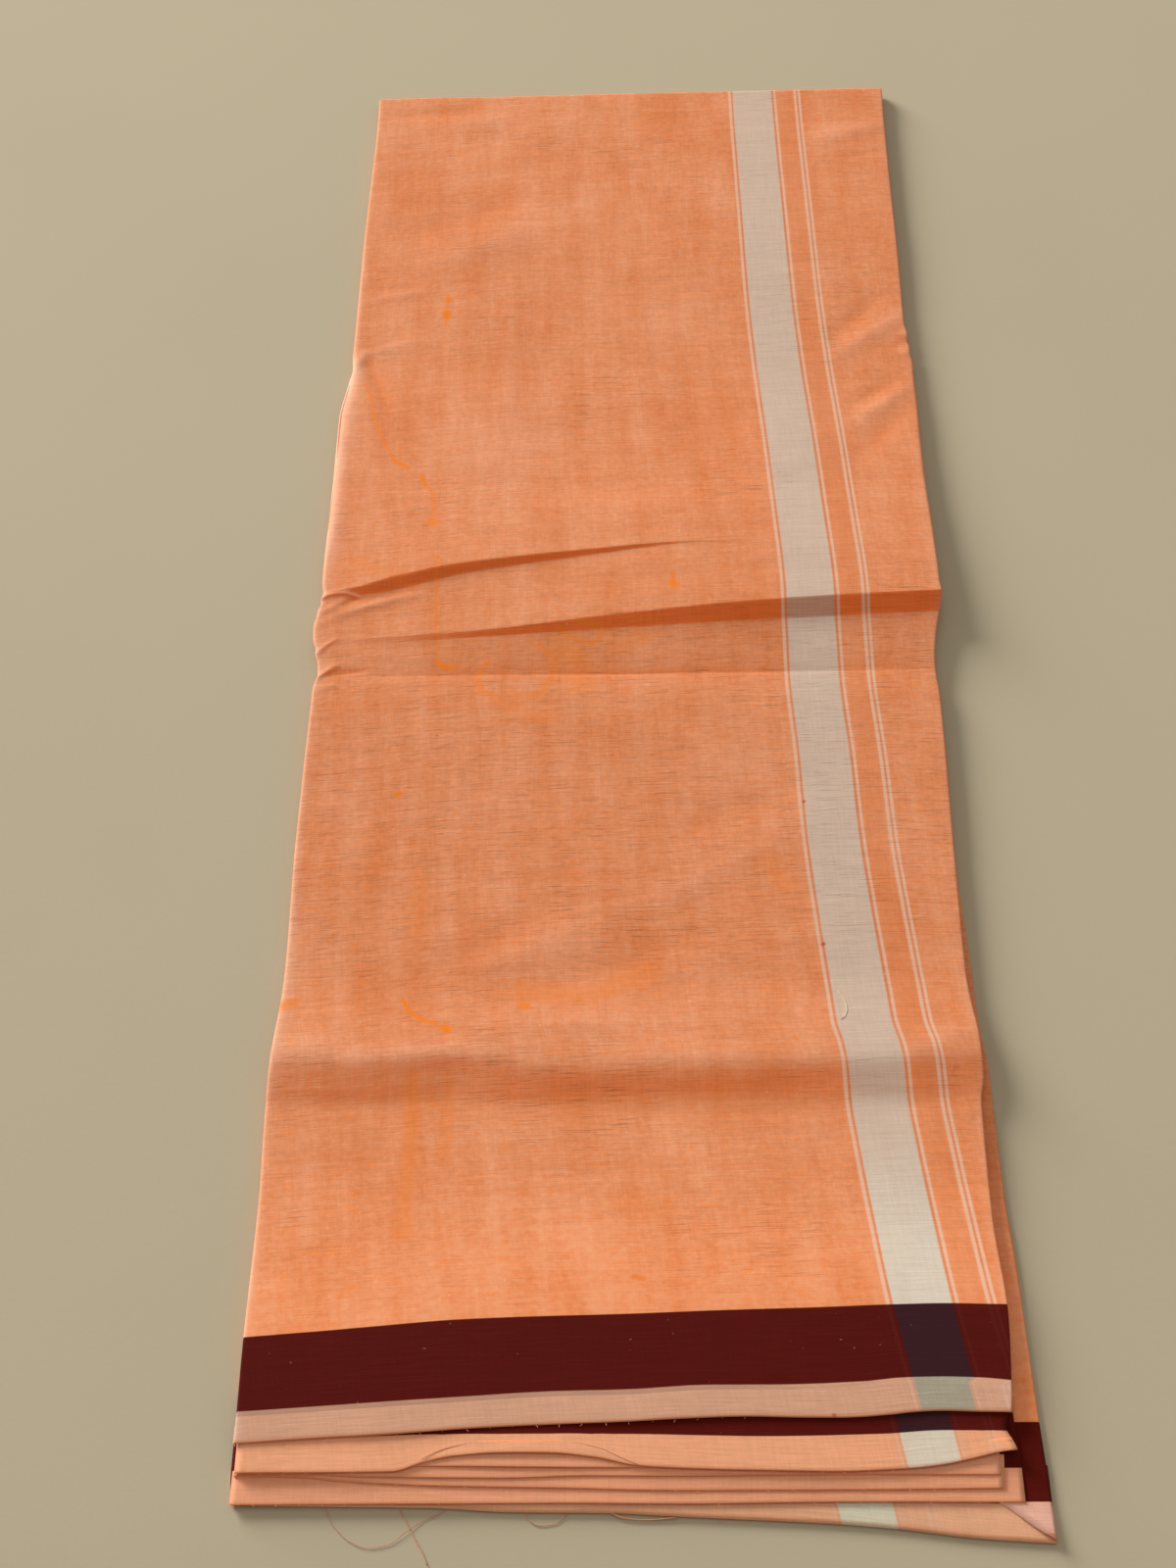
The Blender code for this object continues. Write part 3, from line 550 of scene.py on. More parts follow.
class DhotiSizes(bpy.types.PropertyGroup):
    """Sizes of the cloth and its threads."""

    wall: length_setting("Cloth", "Thickness of one ply", 0.45)
    hem: length_setting("Hem", "Radius of a turned hem", 0.5)
    crinkle: length_setting("Crinkle", "Height of the fine crinkles", 0.1)
    fray: length_setting("Fray", "Length of a frayed end", 1.1)
    fray_gap: length_setting("Fray gap", "Way between frayed ends", 9.0)
    fray_seed: IntProperty(name="Fray seed", description="Start of the frayed ends' random turns", default=7)


class DhotiColours(bpy.types.PropertyGroup):
    """Colours of the yarns and of the table."""

    peach: colour_setting("Peach", "Pale yarn of the field", 241, 161, 117)
    orange: colour_setting("Orange", "Deep yarn of the field", 228, 132, 78)
    stain: colour_setting("Stain", "Orange marks", 250, 134, 38)
    maroon: colour_setting("Maroon", "Cross band", 90, 16, 7)
    silver: colour_setting("Silver", "Wide stripe", 217, 206, 188)
    pinstripe: colour_setting("Pinstripe", "Thin pale stripes", 236, 190, 162)
    table: colour_setting("Table", "Table top", 190, 178, 150)


BLACK = (0.0, 0.0, 0.0, 1.0)
# Where a painted shadow darkens the table a little towards the near end, in metres.
TABLE_SHADE = (-0.56, -0.44)
# How bright the table is: its base, its share of clouds and of grain, and what the painted shadow at the near
# end takes away.
TABLE_TONE = (0.94, 0.08, 0.03, 0.08)
TABLE_CLOUD_SCALE = 5.0
TABLE_GRAIN_SCALE = 420.0
TABLE_ROUGHNESS = 0.8
TABLE_BUMP = 0.03

# Colours of the loose threads and frayed ends, and how much paler they are where they untwist.
ORANGE_THREAD = from_screen(204, 138, 96)
PALE_THREAD = from_screen(226, 206, 176)
FRAYED_YARN = from_screen(224, 140, 92)
UNTWISTED = (1.25, 0.02)
TWIST_SCALE = 900.0
THREAD_ROUGHNESS = 0.7
THREAD_BUMP = 0.05

# Colours that the cloth is painted as shade where it turns from the light or lies in a hollow, and paler at
# its edges and as a highlight on its crests, and those of its stripes and marks.
PAINTED_SHADE_ORANGE = from_screen(255, 118, 48)
PALE_TINT = from_screen(255, 214, 186)
HOLLOW_SHADE = from_screen(240, 128, 60)
STRIP_PALE_TINT = from_screen(255, 228, 212)
STRIPE_EDGE = from_screen(206, 134, 102)
# The silver stripe's colour away from the hem, beyond its painted reflection.
FAR_SILVER = from_screen(217, 191, 170)
WARM_SILVER = from_screen(214, 164, 132)
SILVER_PAINTED_SHADE = from_screen(208, 130, 92)
BRIGHT_MAROON = from_screen(92, 20, 12)
SILVER_IN_BAND = from_screen(56, 26, 32)
PINSTRIPE_IN_BAND = from_screen(112, 58, 56)
SPECK = from_screen(190, 60, 30)
LINT = from_screen(240, 215, 195)

# Finish of each piece's cloth. It is one cloth, but each piece's colours are painted lighter or darker for
# the light it gets: painted light and shade.
# colour of its hem strip, colour of the silver stripe in that strip, painted shade of its field
CLOTHS = {
    "Top leaf cloth": (from_screen(231, 174, 142), from_screen(180, 170, 147), 1.0),
    "Second leaf cloth": (from_screen(254, 178, 134), from_screen(232, 216, 192), 1.0),
    "Lower leaf cloth": (from_screen(252, 174, 132), from_screen(206, 192, 168), 0.98),
    "Bottom leaf cloth": (from_screen(247, 187, 163), from_screen(226, 214, 190), 1.07),
    "Lower ply cloth": (from_screen(246, 183, 142), from_screen(226, 218, 190), 1.0),
    "Hidden layer cloth": (from_screen(214, 140, 98), from_screen(200, 186, 160), 0.92),
}
# Unevenness of the yarns, as noise.
# pace per millimetre across the cloth and along it, offset, detail, roughness
YARN_NOISES = {
    "broad": (0.018, 0.02, 0.0, 4.0, 0.6),
    "warp bands": (0.085, 0.011, 8.1, 3.0, 0.6),
    "weft bands": (0.009, 0.16, 1.3, 3.0, 0.65),
    "weft": (0.05, 1.3, 4.3, 2.0, 0.7),
    "warp": (0.8, 0.05, 6.1, 2.0, 0.7),
    "heather": (0.32, 0.42, 7.7, 3.0, 0.75),
    "spots": (0.2, 0.26, 9.4, 2.0, 0.6),
    "dark picks": (0.055, 1.6, 5.9, 2.0, 0.6),
    "pick zones": (0.012, 0.014, 2.2, 2.0, 0.5),
    "lint": (0.62, 0.62, 6.6, 0.0, 0.5),
}
YARN_PAIR = 0.62
# How much each yarn's unevenness counts in the depth of the colour and in its tone.
YARN_DEPTHS = (("broad", 1.0), ("warp bands", 1.4), ("weft bands", 0.6), ("heather", 1.4))
YARN_TONES = (("weft", 0.36), ("warp", 0.18), ("broad", 0.08))
# Noise at which each of these starts to show, and at which it shows in full.
SPOTS = (0.58, 0.74)
PICK_ZONES = (0.47, 0.65)
DARK_PICKS = (0.59, 0.66)
BRIGHT_WEFT = (0.45, 0.7)
LINT_SPOTS = (0.865, 0.88)
# Strength of the dark picks outside their zones, and how much of their stretch counts as a zone.
PICK_BASE = 0.15
STRETCH_ZONE = 0.8
# How much of each colour or shade shows over what lies under it.
SHOWS = {
    "spots": 0.34, "dark picks": 0.24, "painted_sheen": 0.24, "between stripes": 0.35, "warm silver": 0.22,
    "painted_shade": 0.86, "pale_and_shade": 0.7, "hollow": 1.6, "silver glow": 0.6, "pinstripes": 0.8, "stripe edges": 0.45,
    "bright maroon": 0.3, "silver in band": 0.92, "pinstripes in band": 0.1, "pinstripes in strip": 0.4,
    "stripe edges in strip": 0.2, "worn strip": 0.8, "hem fold": 0.55, "specks": 0.8, "lint": 0.3,
    "lint lost in band": 0.18,
}
# How much each part stands out in the bump.
WEAVE_RELIEF = {"weave": 0.5, "weft": 1.2, "warp": 0.6, "dark picks": 0.6}
CLOTH_BUMP = 0.11
CLOTH_ROUGHNESS = 0.88
SILVER_SMOOTHNESS = 0.16

# Stripes along the cloth, across from the left edge of the silver one.
# start, end, softness, and for a stripe's dark edges their strength
SILVER_STRIPE = (0.0, 24.1, 0.35)
PINSTRIPES = ((-2.9, -1.25, 0.35), (25.5, 26.9, 0.3), (38.1, 39.7, 0.4), (40.8, 42.2, 0.35))
DARK_EDGES = ((-1.15, -0.35, 0.25, 1.0), (24.35, 25.3, 0.25, 1.0), (39.9, 40.6, 0.2, 0.6))
BETWEEN_STRIPES = (27.5, 37.5, 1.2)
BAND_SOFTNESS = 0.22
BAND_TO_FIELD = 0.3
# Way beyond the band over which the dark picks set in, and the way over which the strip's fold is painted
# orange as the shade in the gaps between the leaves.
PICKS_SET_IN = 20.0
HEM_FOLD_SHADE = (-0.2, 1.0)
STRIP_SHADE = 0.94
# Stretches along the cloth from its hem: where the weave shows more dark picks, where a painted sheen pales
# the field towards the band, and where the silver stripe's painted reflection, pale near the hem, gives way
# to its greyer colour.
DARK_STRETCH = (225.0, 425.0, 30.0)
SHEEN_STRETCH = (40.0, 190.0)
SILVER_REFLECTION_STRETCH = (60.0, 150.0)


def smooth_curve(places, values, wanted, sharp=None):
    """Reads a smooth curve through a few places without overshooting, with a corner at each sharp one."""
    places = np.asarray(places, float)
    values = np.asarray(values, float)
    sharp = np.zeros(len(places), bool) if sharp is None else np.asarray(sharp)
    order = np.argsort(places)
    places = places[order]
    values = values[order]
    sharp = sharp[order]
    steps = np.diff(places)
    slopes = np.diff(values) / steps
    tangents = np.zeros(len(places))
    tangents[0] = slopes[0]
    tangents[-1] = slopes[-1]
    for index in range(1, len(places) - 1):
        before = slopes[index - 1]
        after = slopes[index]
        if before * after > 0:
            tangents[index] = 2 * before * after / (before + after)
    start_tangents = np.where(sharp[:-1], slopes, tangents[:-1])
    end_tangents = np.where(sharp[1:], slopes, tangents[1:])
    wanted = np.clip(np.asarray(wanted, float), places[0], places[-1])
    span = np.clip(np.searchsorted(places, wanted) - 1, 0, len(steps) - 1)
    t = (wanted - places[span]) / steps[span]
    from_start = (1 + 2 * t) * values[span] + t * steps[span] * start_tangents[span]
    from_end = (3 - 2 * t) * values[span + 1] - (1 - t) * steps[span] * end_tangents[span]
    return (1 - t) ** 2 * from_start + t * t * from_end


def pairs_curve(pairs, wanted):
    """Reads a smooth curve through (place, value) pairs."""
    places, values = zip(*pairs)
    return smooth_curve(places, values, wanted)


def table_column(table, column, wanted):
    """Reads a column of a table whose first column is y."""
    return smooth_curve([row[0] for row in table], [row[column] for row in table], wanted)


def line_values(line, column, shares):
    """The y (column 3) or the height (column 4) of a line of the top leaf at shares of its width."""
    left, right, given = line[1], line[2], line[column]
    if isinstance(given, float):
        return np.full(len(shares), given)
    if isinstance(given[0], tuple):
        places = [(x - left) / (right - left) for x, _ in given]
        return smooth_curve(places, [value for _, value in given], shares)
    return smooth_curve(STATIONS, given, shares)


def row_places(length, from_sharp, to_sharp):
    """Shares of the way from one line to the next, closer together beside a sharp crease."""
    places = [0.0]
    while places[-1] < length:
        way = [places[-1]] * from_sharp + [length - places[-1]] * to_sharp
        step = FINE_STEP + STEP_GROWTH * min(way) if way else COARSE_STEP
        places.append(places[-1] + min(step, COARSE_STEP))
    return np.array(places[:-1]) / places[-1]


def relief(x, y):
    """Height of the small creases of the top leaf."""
    height = np.zeros_like(x)
    for _, start, end, bow, lift, left_width, right_width, power in CREASES:
        chord = np.subtract(end, start)
        length = np.hypot(*chord)
        way = chord / length
        share = ((x - start[0]) * way[0] + (y - start[1]) * way[1]) / length
        aside = (y - start[1]) * way[0] - (x - start[0]) * way[1] - 4 * bow * share * (1 - share)
        width = np.where(aside > 0, left_width, right_width)
        fade = np.sin(np.pi * np.clip(share, 0, 1)) ** CREASE_FADE
        height += lift * fade * np.exp(-((np.abs(aside) / width) ** power))
    return height


def crinkle(x, y, height, seed):
    """Fine uneven crinkles, a little longer across the pack than along it."""
    total = np.zeros(x.size)
    for offset, (wide, long, share) in ((0, BROAD_CRINKLE), (5, FINE_CRINKLE)):
        places = zip(x.ravel() / wide, y.ravel() / long)
        total += [share * noise.noise(Vector((across, along, seed + offset))) for across, along in places]
    return height * total.reshape(x.shape)


def net_faces(rows, columns):
    """Faces of a net whose rows run from the far end to the near end and whose outer side is up."""
    first = (np.arange(rows - 1)[:, None] * columns + np.arange(columns - 1)[None, :]).ravel()
    return np.stack([first, first + columns, first + columns + 1, first + 1], axis=1).tolist()


def make_piece(name, points, faces, material, chart=None, wall=0.0, shares=None):
    """Makes a piece from plan points, with the charts of its cloth and the thickness on its inner side."""
    mesh = bpy.data.meshes.new(name)
    mesh.from_pydata(((np.asarray(points, float) + PLAN_SHIFT) * MM).tolist(), [], faces)
    mesh.shade_smooth()
    mesh.materials.append(material)
    corners = np.empty(len(mesh.loops), int)
    mesh.loops.foreach_get("vertex_index", corners)
    if chart is not None:
        layer = mesh.uv_layers.new(name="Cloth")
        layer.data.foreach_set("uv", (np.asarray(chart)[corners] * MM).astype(np.float32).ravel())
    if shares is not None:
        layer = mesh.uv_layers.new(name="Turned and worn")
        layer.data.foreach_set("uv", shares[corners].astype(np.float32).ravel())
    piece = bpy.data.objects.new(name, mesh)
    bpy.context.scene.collection.objects.link(piece)
    if wall:
        thickness = piece.modifiers.new("Ply", "SOLIDIFY")
        thickness.thickness = wall
        thickness.offset = -1.0
        thickness.use_even_offset = True
        thickness.use_quality_normals = True
    return piece


def make_net(name, grid, material, chart, wall, shares=None, faces=None):
    """Makes a piece from a net of plan points and its chart, outer side up unless its faces are given."""
    faces = net_faces(*grid.shape[:2]) if faces is None else faces
    shares = None if shares is None else shares.reshape(-1, 2)
    return make_piece(name, grid.reshape(-1, 3), faces, material, chart.reshape(-1, 2), wall, shares)


def way_along(grid):
    """Length of cloth from each point to the last row, down its column."""
    steps = np.linalg.norm(np.diff(grid, axis=0), axis=2)
    way = np.zeros(grid.shape[:2])
    way[:-1] = np.cumsum(steps[::-1], axis=0)[::-1]
    return way


def hem_rows(last, radius, way_back):
    """Rows that turn a hem under: round its fold, then a little way back."""
    rows = []
    for angle in np.radians(HEM_ANGLES):
        row = last.copy()
        row[:, 1] -= radius * math.sin(angle)
        row[:, 2] -= radius * (1 - math.cos(angle))
        rows.append(row)
    back = rows[-1].copy()
    back[:, 1] += way_back
    rows.append(back)
    return np.array(rows)


def top_net(sizes):
    """The top leaf's outer face, the height of its small creases, and the rows of its band's two edges."""
    shares = np.linspace(0, 1, SHARE_STEPS)
    lines_y = np.array([line_values(line, 3, shares) for line in TOP_LINES])
    lines_y[-1] += sizes.hem / MM
    lines_z = np.array([line_values(line, 4, shares) for line in TOP_LINES])
    sharp = [line[5] for line in TOP_LINES]
    rows_y = []
    line_rows = []
    for index in range(len(TOP_LINES) - 1):
        line_rows.append(len(rows_y))
        length = lines_y[index].mean() - lines_y[index + 1].mean()
        for part in row_places(length, sharp[index], sharp[index + 1]):
            rows_y.append(lines_y[index] * (1 - part) + lines_y[index + 1] * part)
    rows_y = np.array([*rows_y, lines_y[-1]])
    rows_z = [smooth_curve(lines_y[:, k], lines_z[:, k], rows_y[:, k], sharp) for k in range(len(shares))]
    rows_z = np.array(rows_z).T
    turn = np.radians(EDGE_ANGLES)
    column_shares = pairs_curve(COLUMN_SPANS, np.arange(COLUMN_SPANS[-1][0] + 1))
    grid = np.zeros((len(rows_y), len(column_shares) + 2 * len(turn) - 2, 3))
    edges = []
    for end, puckers in ((0, LEFT_PUCKERS), (1, RIGHT_PUCKERS)):
        places = [line_values(line, 3, [end])[0] for line in TOP_LINES]
        values = [line[1 + end] for line in TOP_LINES]
        wanted = rows_y[:, -end]
        edges.append(smooth_curve(places, values, wanted) + pairs_curve(puckers, wanted))
    for row, (left, right) in enumerate(zip(*edges)):
        left_width, left_drop = (table_column(EDGE_ROUNDING, column, rows_y[row, 0]) for column in (1, 2))
        right_width, right_drop = (table_column(EDGE_ROUNDING, column, rows_y[row, -1]) for column in (3, 4))
        inner = left + left_width + (right - right_width - left - left_width) * column_shares
        outward = 1 - np.sin(turn[:-1])
        x = np.concatenate([left + left_width * outward, inner, (right - right_width * outward)[::-1]])
        drop = np.zeros(len(x))
        drop[: len(turn) - 1] = left_drop * (1 - np.cos(turn[:-1]))
        drop[-(len(turn) - 1) :] = (right_drop * (1 - np.cos(turn[:-1])))[::-1]
        place = (x - left) / (right - left)
        grid[row, :, 0] = x
        grid[row, :, 1] = np.interp(place, shares, rows_y[row])
        grid[row, :, 2] = np.interp(place, shares, rows_z[row]) - drop
    x, y = grid[:, :, 0], grid[:, :, 1]
    creases = relief(x, y)
    grid[:, :, 2] += creases + crinkle(x, y, sizes.crinkle / MM, TOP_CRINKLE_SEED)
    return grid, creases, line_rows[BAND_FAR_INDEX], line_rows[BAND_NEAR_INDEX]


def painted_shade_share(net):
    """How far each point of the net turns from the light, from 0 on the flat to 1 on a steep face; the finish
    paints this as shade.
    """
    rise = np.gradient(net[:, :, 2], axis=0) / np.gradient(net[:, :, 1], axis=0)
    return np.clip((rise - PAINTED_SHADE_FROM) / (PAINTED_SHADE_TO - PAINTED_SHADE_FROM), 0.0, 1.0)


def pale_and_shade_share(net, creases):
    """How pale the top leaf is painted: a painted highlight at its left edge and on its crests, and paler at
    its right edge; below 0 in hollows, which are painted as shade.
    """
    from_left = net[:, :, 0] - net[:, :1, 0]
    from_right = net[:, -1:, 0] - net[:, :, 0]
    share, width = (table_column(LEFT_HIGHLIGHT, column, net[:, 0, 1])[:, None] for column in (1, 2))
    left = share * np.exp(-((from_left / width) ** LEFT_HIGHLIGHT_FADE))
    right = RIGHT_EDGE_PALE * np.exp(-from_right / RIGHT_EDGE_PALE_WIDTH)
    return left + right + CREST_HIGHLIGHT_AND_SHADE * np.clip(creases, -1.0, 1.0)


def far_roll(first_row):
    """Rows that carry the top leaf over the far fold and a little way under the pack."""
    tail = first_row.copy()
    tail[:, 1] = TAIL_Y
    tail[:, 2] = 0.0
    rows = [tail]
    for step in range(ROLL_STEPS):
        angle = math.radians(-90 + 180 * step / ROLL_STEPS)
        row = first_row.copy()
        row[:, 1] += ROLL_RADIUS * math.cos(angle)
        row[:, 2] = (first_row[:, 2] / 2) * (1 + math.sin(angle))
        rows.append(row)
    return np.array(rows)


def top_chart(grid, far_row, near_row, hem_row):
    """Places on the cloth: across from the silver stripe, and along from the hem."""
    across = grid[:, :, 0] - pairs_curve(SILVER_EDGE, grid[:, :, 1])
    way = way_along(grid)
    way -= way[hem_row]
    near, far = way[near_row], way[far_row]
    in_band = STRIP_WIDTH + (way - near) * (BAND_END - STRIP_WIDTH) / (far - near)
    along = np.where(way < near, way * STRIP_WIDTH / near, in_band)
    along = np.where(way > far, BAND_END + way - far, along)
    across = np.where(way < near, across * STRIP_GATHER, across)
    return np.stack([across, along], axis=2)


class Signal:
    """A number that varies over a finish. Python's operators on it add maths nodes."""

    def __init__(self, finish, socket):
        self.finish = finish
        self.socket = socket

    def maths(self, operation, *values):
        node = self.finish.add("ShaderNodeMath", dict(enumerate(values)), operation=operation)
        return Signal(self.finish, node.outputs[0])

    def __add__(self, other):
        return self.maths("ADD", self, other)

    __radd__ = __add__

    def __sub__(self, other):
        return self.maths("SUBTRACT", self, other)

    def __rsub__(self, other):
        return self.maths("SUBTRACT", other, self)

    def __mul__(self, other):
        return self.maths("MULTIPLY", self, other)

    __rmul__ = __mul__

    def lesser(self, other):
        return self.maths("MINIMUM", self, other)

    def greater(self, other):
        return self.maths("MAXIMUM", self, other)

    def wave(self):
        return self.maths("SINE", self)

    def between(self, low, high):
        """Rises smoothly from 0 at low to 1 at high."""
        sockets = {"Value": self, "From Min": low, "From Max": high}
        node = self.finish.add("ShaderNodeMapRange", sockets, interpolation_type="SMOOTHSTEP")
        return Signal(self.finish, node.outputs["Result"])

    def stripe(self, start, end, soft):
        """1 from start to end, with soft edges."""
        return self.between(start - soft, start + soft) * (1 - self.between(end - soft, end + soft))


class Finish:
    """A material in the making. Each call adds one node to it."""

    def __init__(self, name):
        self.material = bpy.data.materials.new(name)
        self.material.use_nodes = True
        self.tree = self.material.node_tree
        self.tree.nodes.clear()

    def add(self, kind, sockets=None, **settings):
        node = self.tree.nodes.new(kind)
        for key, value in settings.items():
            setattr(node, key, value)
        for key, value in (sockets or {}).items():
            value = value.socket if isinstance(value, Signal) else value
            if isinstance(value, bpy.types.NodeSocket):
                self.tree.links.new(value, node.inputs[key])
            else:
                node.inputs[key].default_value = value
        return node

    def signal(self, kind, output, sockets=None, **settings):
        return Signal(self, self.add(kind, sockets, **settings).outputs[output])

    def place(self, across, along, third):
        return self.add("ShaderNodeCombineXYZ", {0: across, 1: along, 2: third}).outputs[0]

    def noise(self, vector, scale=1.0, detail=2.0, roughness=0.5):
        sockets = {"Vector": vector, "Scale": scale, "Detail": detail, "Roughness": roughness}
        return self.signal("ShaderNodeTexNoise", "Fac", sockets)

    def mix(self, share, first, second, blend="MIX"):
        sockets = {0: share, 6: first, 7: second}
        return self.add("ShaderNodeMix", sockets, data_type="RGBA", blend_type=blend).outputs[2]

    def vector(self, operation, first, second):
        return self.add("ShaderNodeVectorMath", {0: first, 1: second}, operation=operation).outputs[0]

    def surface(self, colour, roughness, bump, depth, **constants):
        """Ends the finish with a bump, its depth in millimetres, and the shader's own constants."""
        sockets = {"Height": bump, "Distance": depth * MM, "Strength": 1.0}
        normal = self.add("ShaderNodeBump", sockets).outputs["Normal"]
        sockets = {"Base Color": colour, "Roughness": roughness, "Normal": normal}
        shader = self.add("ShaderNodeBsdfPrincipled", sockets)
        for key, value in constants.items():
            shader.inputs[key.replace("_", " ")].default_value = value
        self.add("ShaderNodeOutputMaterial", {"Surface": shader.outputs[0]})
        return self.material


def drawn_marks(finish, position, marks):
    """Strength of short marks, each drawn as straight strokes between its points on the plan."""
    total = None
    position = finish.vector("MULTIPLY", position, (1.0, 1.0, 0.0))
    for half_width, strength, points in marks:
        nearest = None
        for start, end in zip(points, points[1:]):
            start, end = ((np.array([*point, 0.0]) + PLAN_SHIFT) * MM for point in (start, end))
            chord = end - start
            offset = finish.vector("SUBTRACT", position, start)
            sockets = {0: offset, 1: chord / (chord @ chord)}
            share = finish.signal("ShaderNodeVectorMath", "Value", sockets, operation="DOT_PRODUCT")
            share = share.lesser(1.0).greater(0.0)
            sockets = {0: chord, "Scale": share}
            stroke = finish.add("ShaderNodeVectorMath", sockets, operation="SCALE").outputs[0]
            sockets = {0: finish.vector("SUBTRACT", offset, stroke)}
            away = finish.signal("ShaderNodeVectorMath", "Value", sockets, operation="LENGTH")
            nearest = away if nearest is None else nearest.lesser(away)
        mark = strength * (1 - nearest.between(*(share * half_width * MM for share in MARK_SOFTNESS)))
        total = mark if total is None else total.greater(mark)
    return total


def varied(start, yarns, shares):
    """A number that varies with the unevenness of some yarns, by a share of each."""
    for name, share in shares:
        start = start + share * (yarns[name] - 0.5)
    return start


def cloth_finish(name, colours, marked=False):
    """The dhoti's own cloth: a plain weave of peach and orange yarns, with its stripes, band and hem strip.

    A marked one is also painted deeper as shade where it turns from the light and in hollows, paler as a
    highlight at its left edge and crests and paler at its right edge, and it carries the marks: that is the
    top leaf's.
    """
    # Each piece's strip colours and field are painted lighter or darker for the light it gets.
    strip, strip_silver, painted_field_shade = CLOTHS[name]
    finish = Finish(name)
    chart = finish.add("ShaderNodeUVMap", uv_map="Cloth").outputs[0]
    parts = finish.add("ShaderNodeSeparateXYZ", {0: chart})
    across, along = (Signal(finish, parts.outputs[axis]) * (1 / MM) for axis in (0, 1))
    yarns = {}
    for part, (pace_across, pace_along, offset, detail, roughness) in YARN_NOISES.items():
        place = finish.place(across * pace_across, along * pace_along, offset)
        yarns[part] = finish.noise(place, detail=detail, roughness=roughness)

    depth = varied(0.5, yarns, YARN_DEPTHS).lesser(1.0).greater(0.0)
    field = finish.mix(depth, colours.orange, colours.peach)
    field = finish.mix(yarns["spots"].between(*SPOTS) * SHOWS["spots"], field, colours.stain)
    tone = varied(1.0, yarns, YARN_TONES)
    zones = yarns["pick zones"].between(*PICK_ZONES).greater(STRETCH_ZONE * along.stripe(*DARK_STRETCH))
    picks = yarns["dark picks"].between(*DARK_PICKS) * (PICK_BASE + zones)
    picks = picks * along.between(BAND_END, BAND_END + PICKS_SET_IN)
    tone = tone - SHOWS["dark picks"] * picks
    # Painted sheen: the field is painted paler above the band, towards the near end.
    sheen_near_end = 1 - along.between(*SHEEN_STRETCH)
    above_band = along.between(BAND_END - BAND_TO_FIELD, BAND_END + BAND_TO_FIELD)
    tone = tone + SHOWS["painted_sheen"] * sheen_near_end * above_band
    in_strip = 1 - along.between(STRIP_WIDTH - BAND_SOFTNESS, STRIP_WIDTH + BAND_SOFTNESS)
    # Painted light and shade: the field is painted lighter or darker on each piece.
    tone = tone * (painted_field_shade + (1 - painted_field_shade) * in_strip)

    silver = across.stripe(*SILVER_STRIPE)
    first, *others = (across.stripe(*line) for line in PINSTRIPES)
    pinstripes = sum(others, first)
    first, *others = (strength * across.stripe(*line) for *line, strength in DARK_EDGES)
    dark_edges = sum(others, first)
    field = finish.mix(SHOWS["between stripes"] * across.stripe(*BETWEEN_STRIPES), field, colours.orange)
    # Painted reflection: the silver stripe is painted paler near the hem.
    silver_tone = finish.mix(along.between(*SILVER_REFLECTION_STRETCH), colours.silver, FAR_SILVER)
    silver_tone = finish.mix(SHOWS["warm silver"] * depth, silver_tone, WARM_SILVER)
    # Painted light on the top leaf: a deeper orange as painted shade on faces turned from the light and in
    # hollows, paler as a painted highlight at its left edge and on its crests, and paler at its right edge.
    if marked:
        shares = finish.add("ShaderNodeUVMap", uv_map="Turned and worn").outputs[0]
        shares = finish.add("ShaderNodeSeparateXYZ", {0: shares})
        turned, pale_and_shade = (Signal(finish, shares.outputs[axis]) for axis in (0, 1))
        turned = turned.between(0.0, 1.0)
        field = finish.mix(SHOWS["painted_shade"] * turned, field, PAINTED_SHADE_ORANGE)
        field = finish.mix(SHOWS["pale_and_shade"] * pale_and_shade.greater(0.0), field, PALE_TINT)
        field = finish.mix(SHOWS["hollow"] * (0 - pale_and_shade).greater(0.0), field, HOLLOW_SHADE)
        silver_tone = finish.mix(SHOWS["silver glow"] * turned, silver_tone, SILVER_PAINTED_SHADE)
    striped = finish.mix(silver, field, silver_tone)
    striped = finish.mix(SHOWS["pinstripes"] * pinstripes, striped, colours.pinstripe)
    striped = finish.mix(SHOWS["stripe edges"] * dark_edges, striped, STRIPE_EDGE)

    bright = yarns["weft"].between(*BRIGHT_WEFT) * SHOWS["bright maroon"]
    red = finish.mix(bright, colours.maroon, BRIGHT_MAROON)
    red = finish.mix(SHOWS["silver in band"] * silver, red, SILVER_IN_BAND)
    red = finish.mix(SHOWS["pinstripes in band"] * pinstripes, red, PINSTRIPE_IN_BAND)
    band = along.stripe(STRIP_WIDTH, BAND_END, BAND_SOFTNESS)
    cloth = finish.mix(band, striped, red)

    hem_strip = finish.mix(depth, tuple(STRIP_SHADE * part for part in strip[:3]) + (1.0,), strip)
    hem_strip = finish.mix(silver, hem_strip, strip_silver)
    hem_strip = finish.mix(SHOWS["pinstripes in strip"] * pinstripes, hem_strip, colours.pinstripe)
    hem_strip = finish.mix(SHOWS["stripe edges in strip"] * dark_edges, hem_strip, STRIPE_EDGE)
    # Painted highlight on the top leaf: its strip is painted paler at the left edge and on crests, and paler
    # at the right edge.
    if marked:
        hem_strip = finish.mix(SHOWS["worn strip"] * pale_and_shade.greater(0.0), hem_strip, STRIP_PALE_TINT)
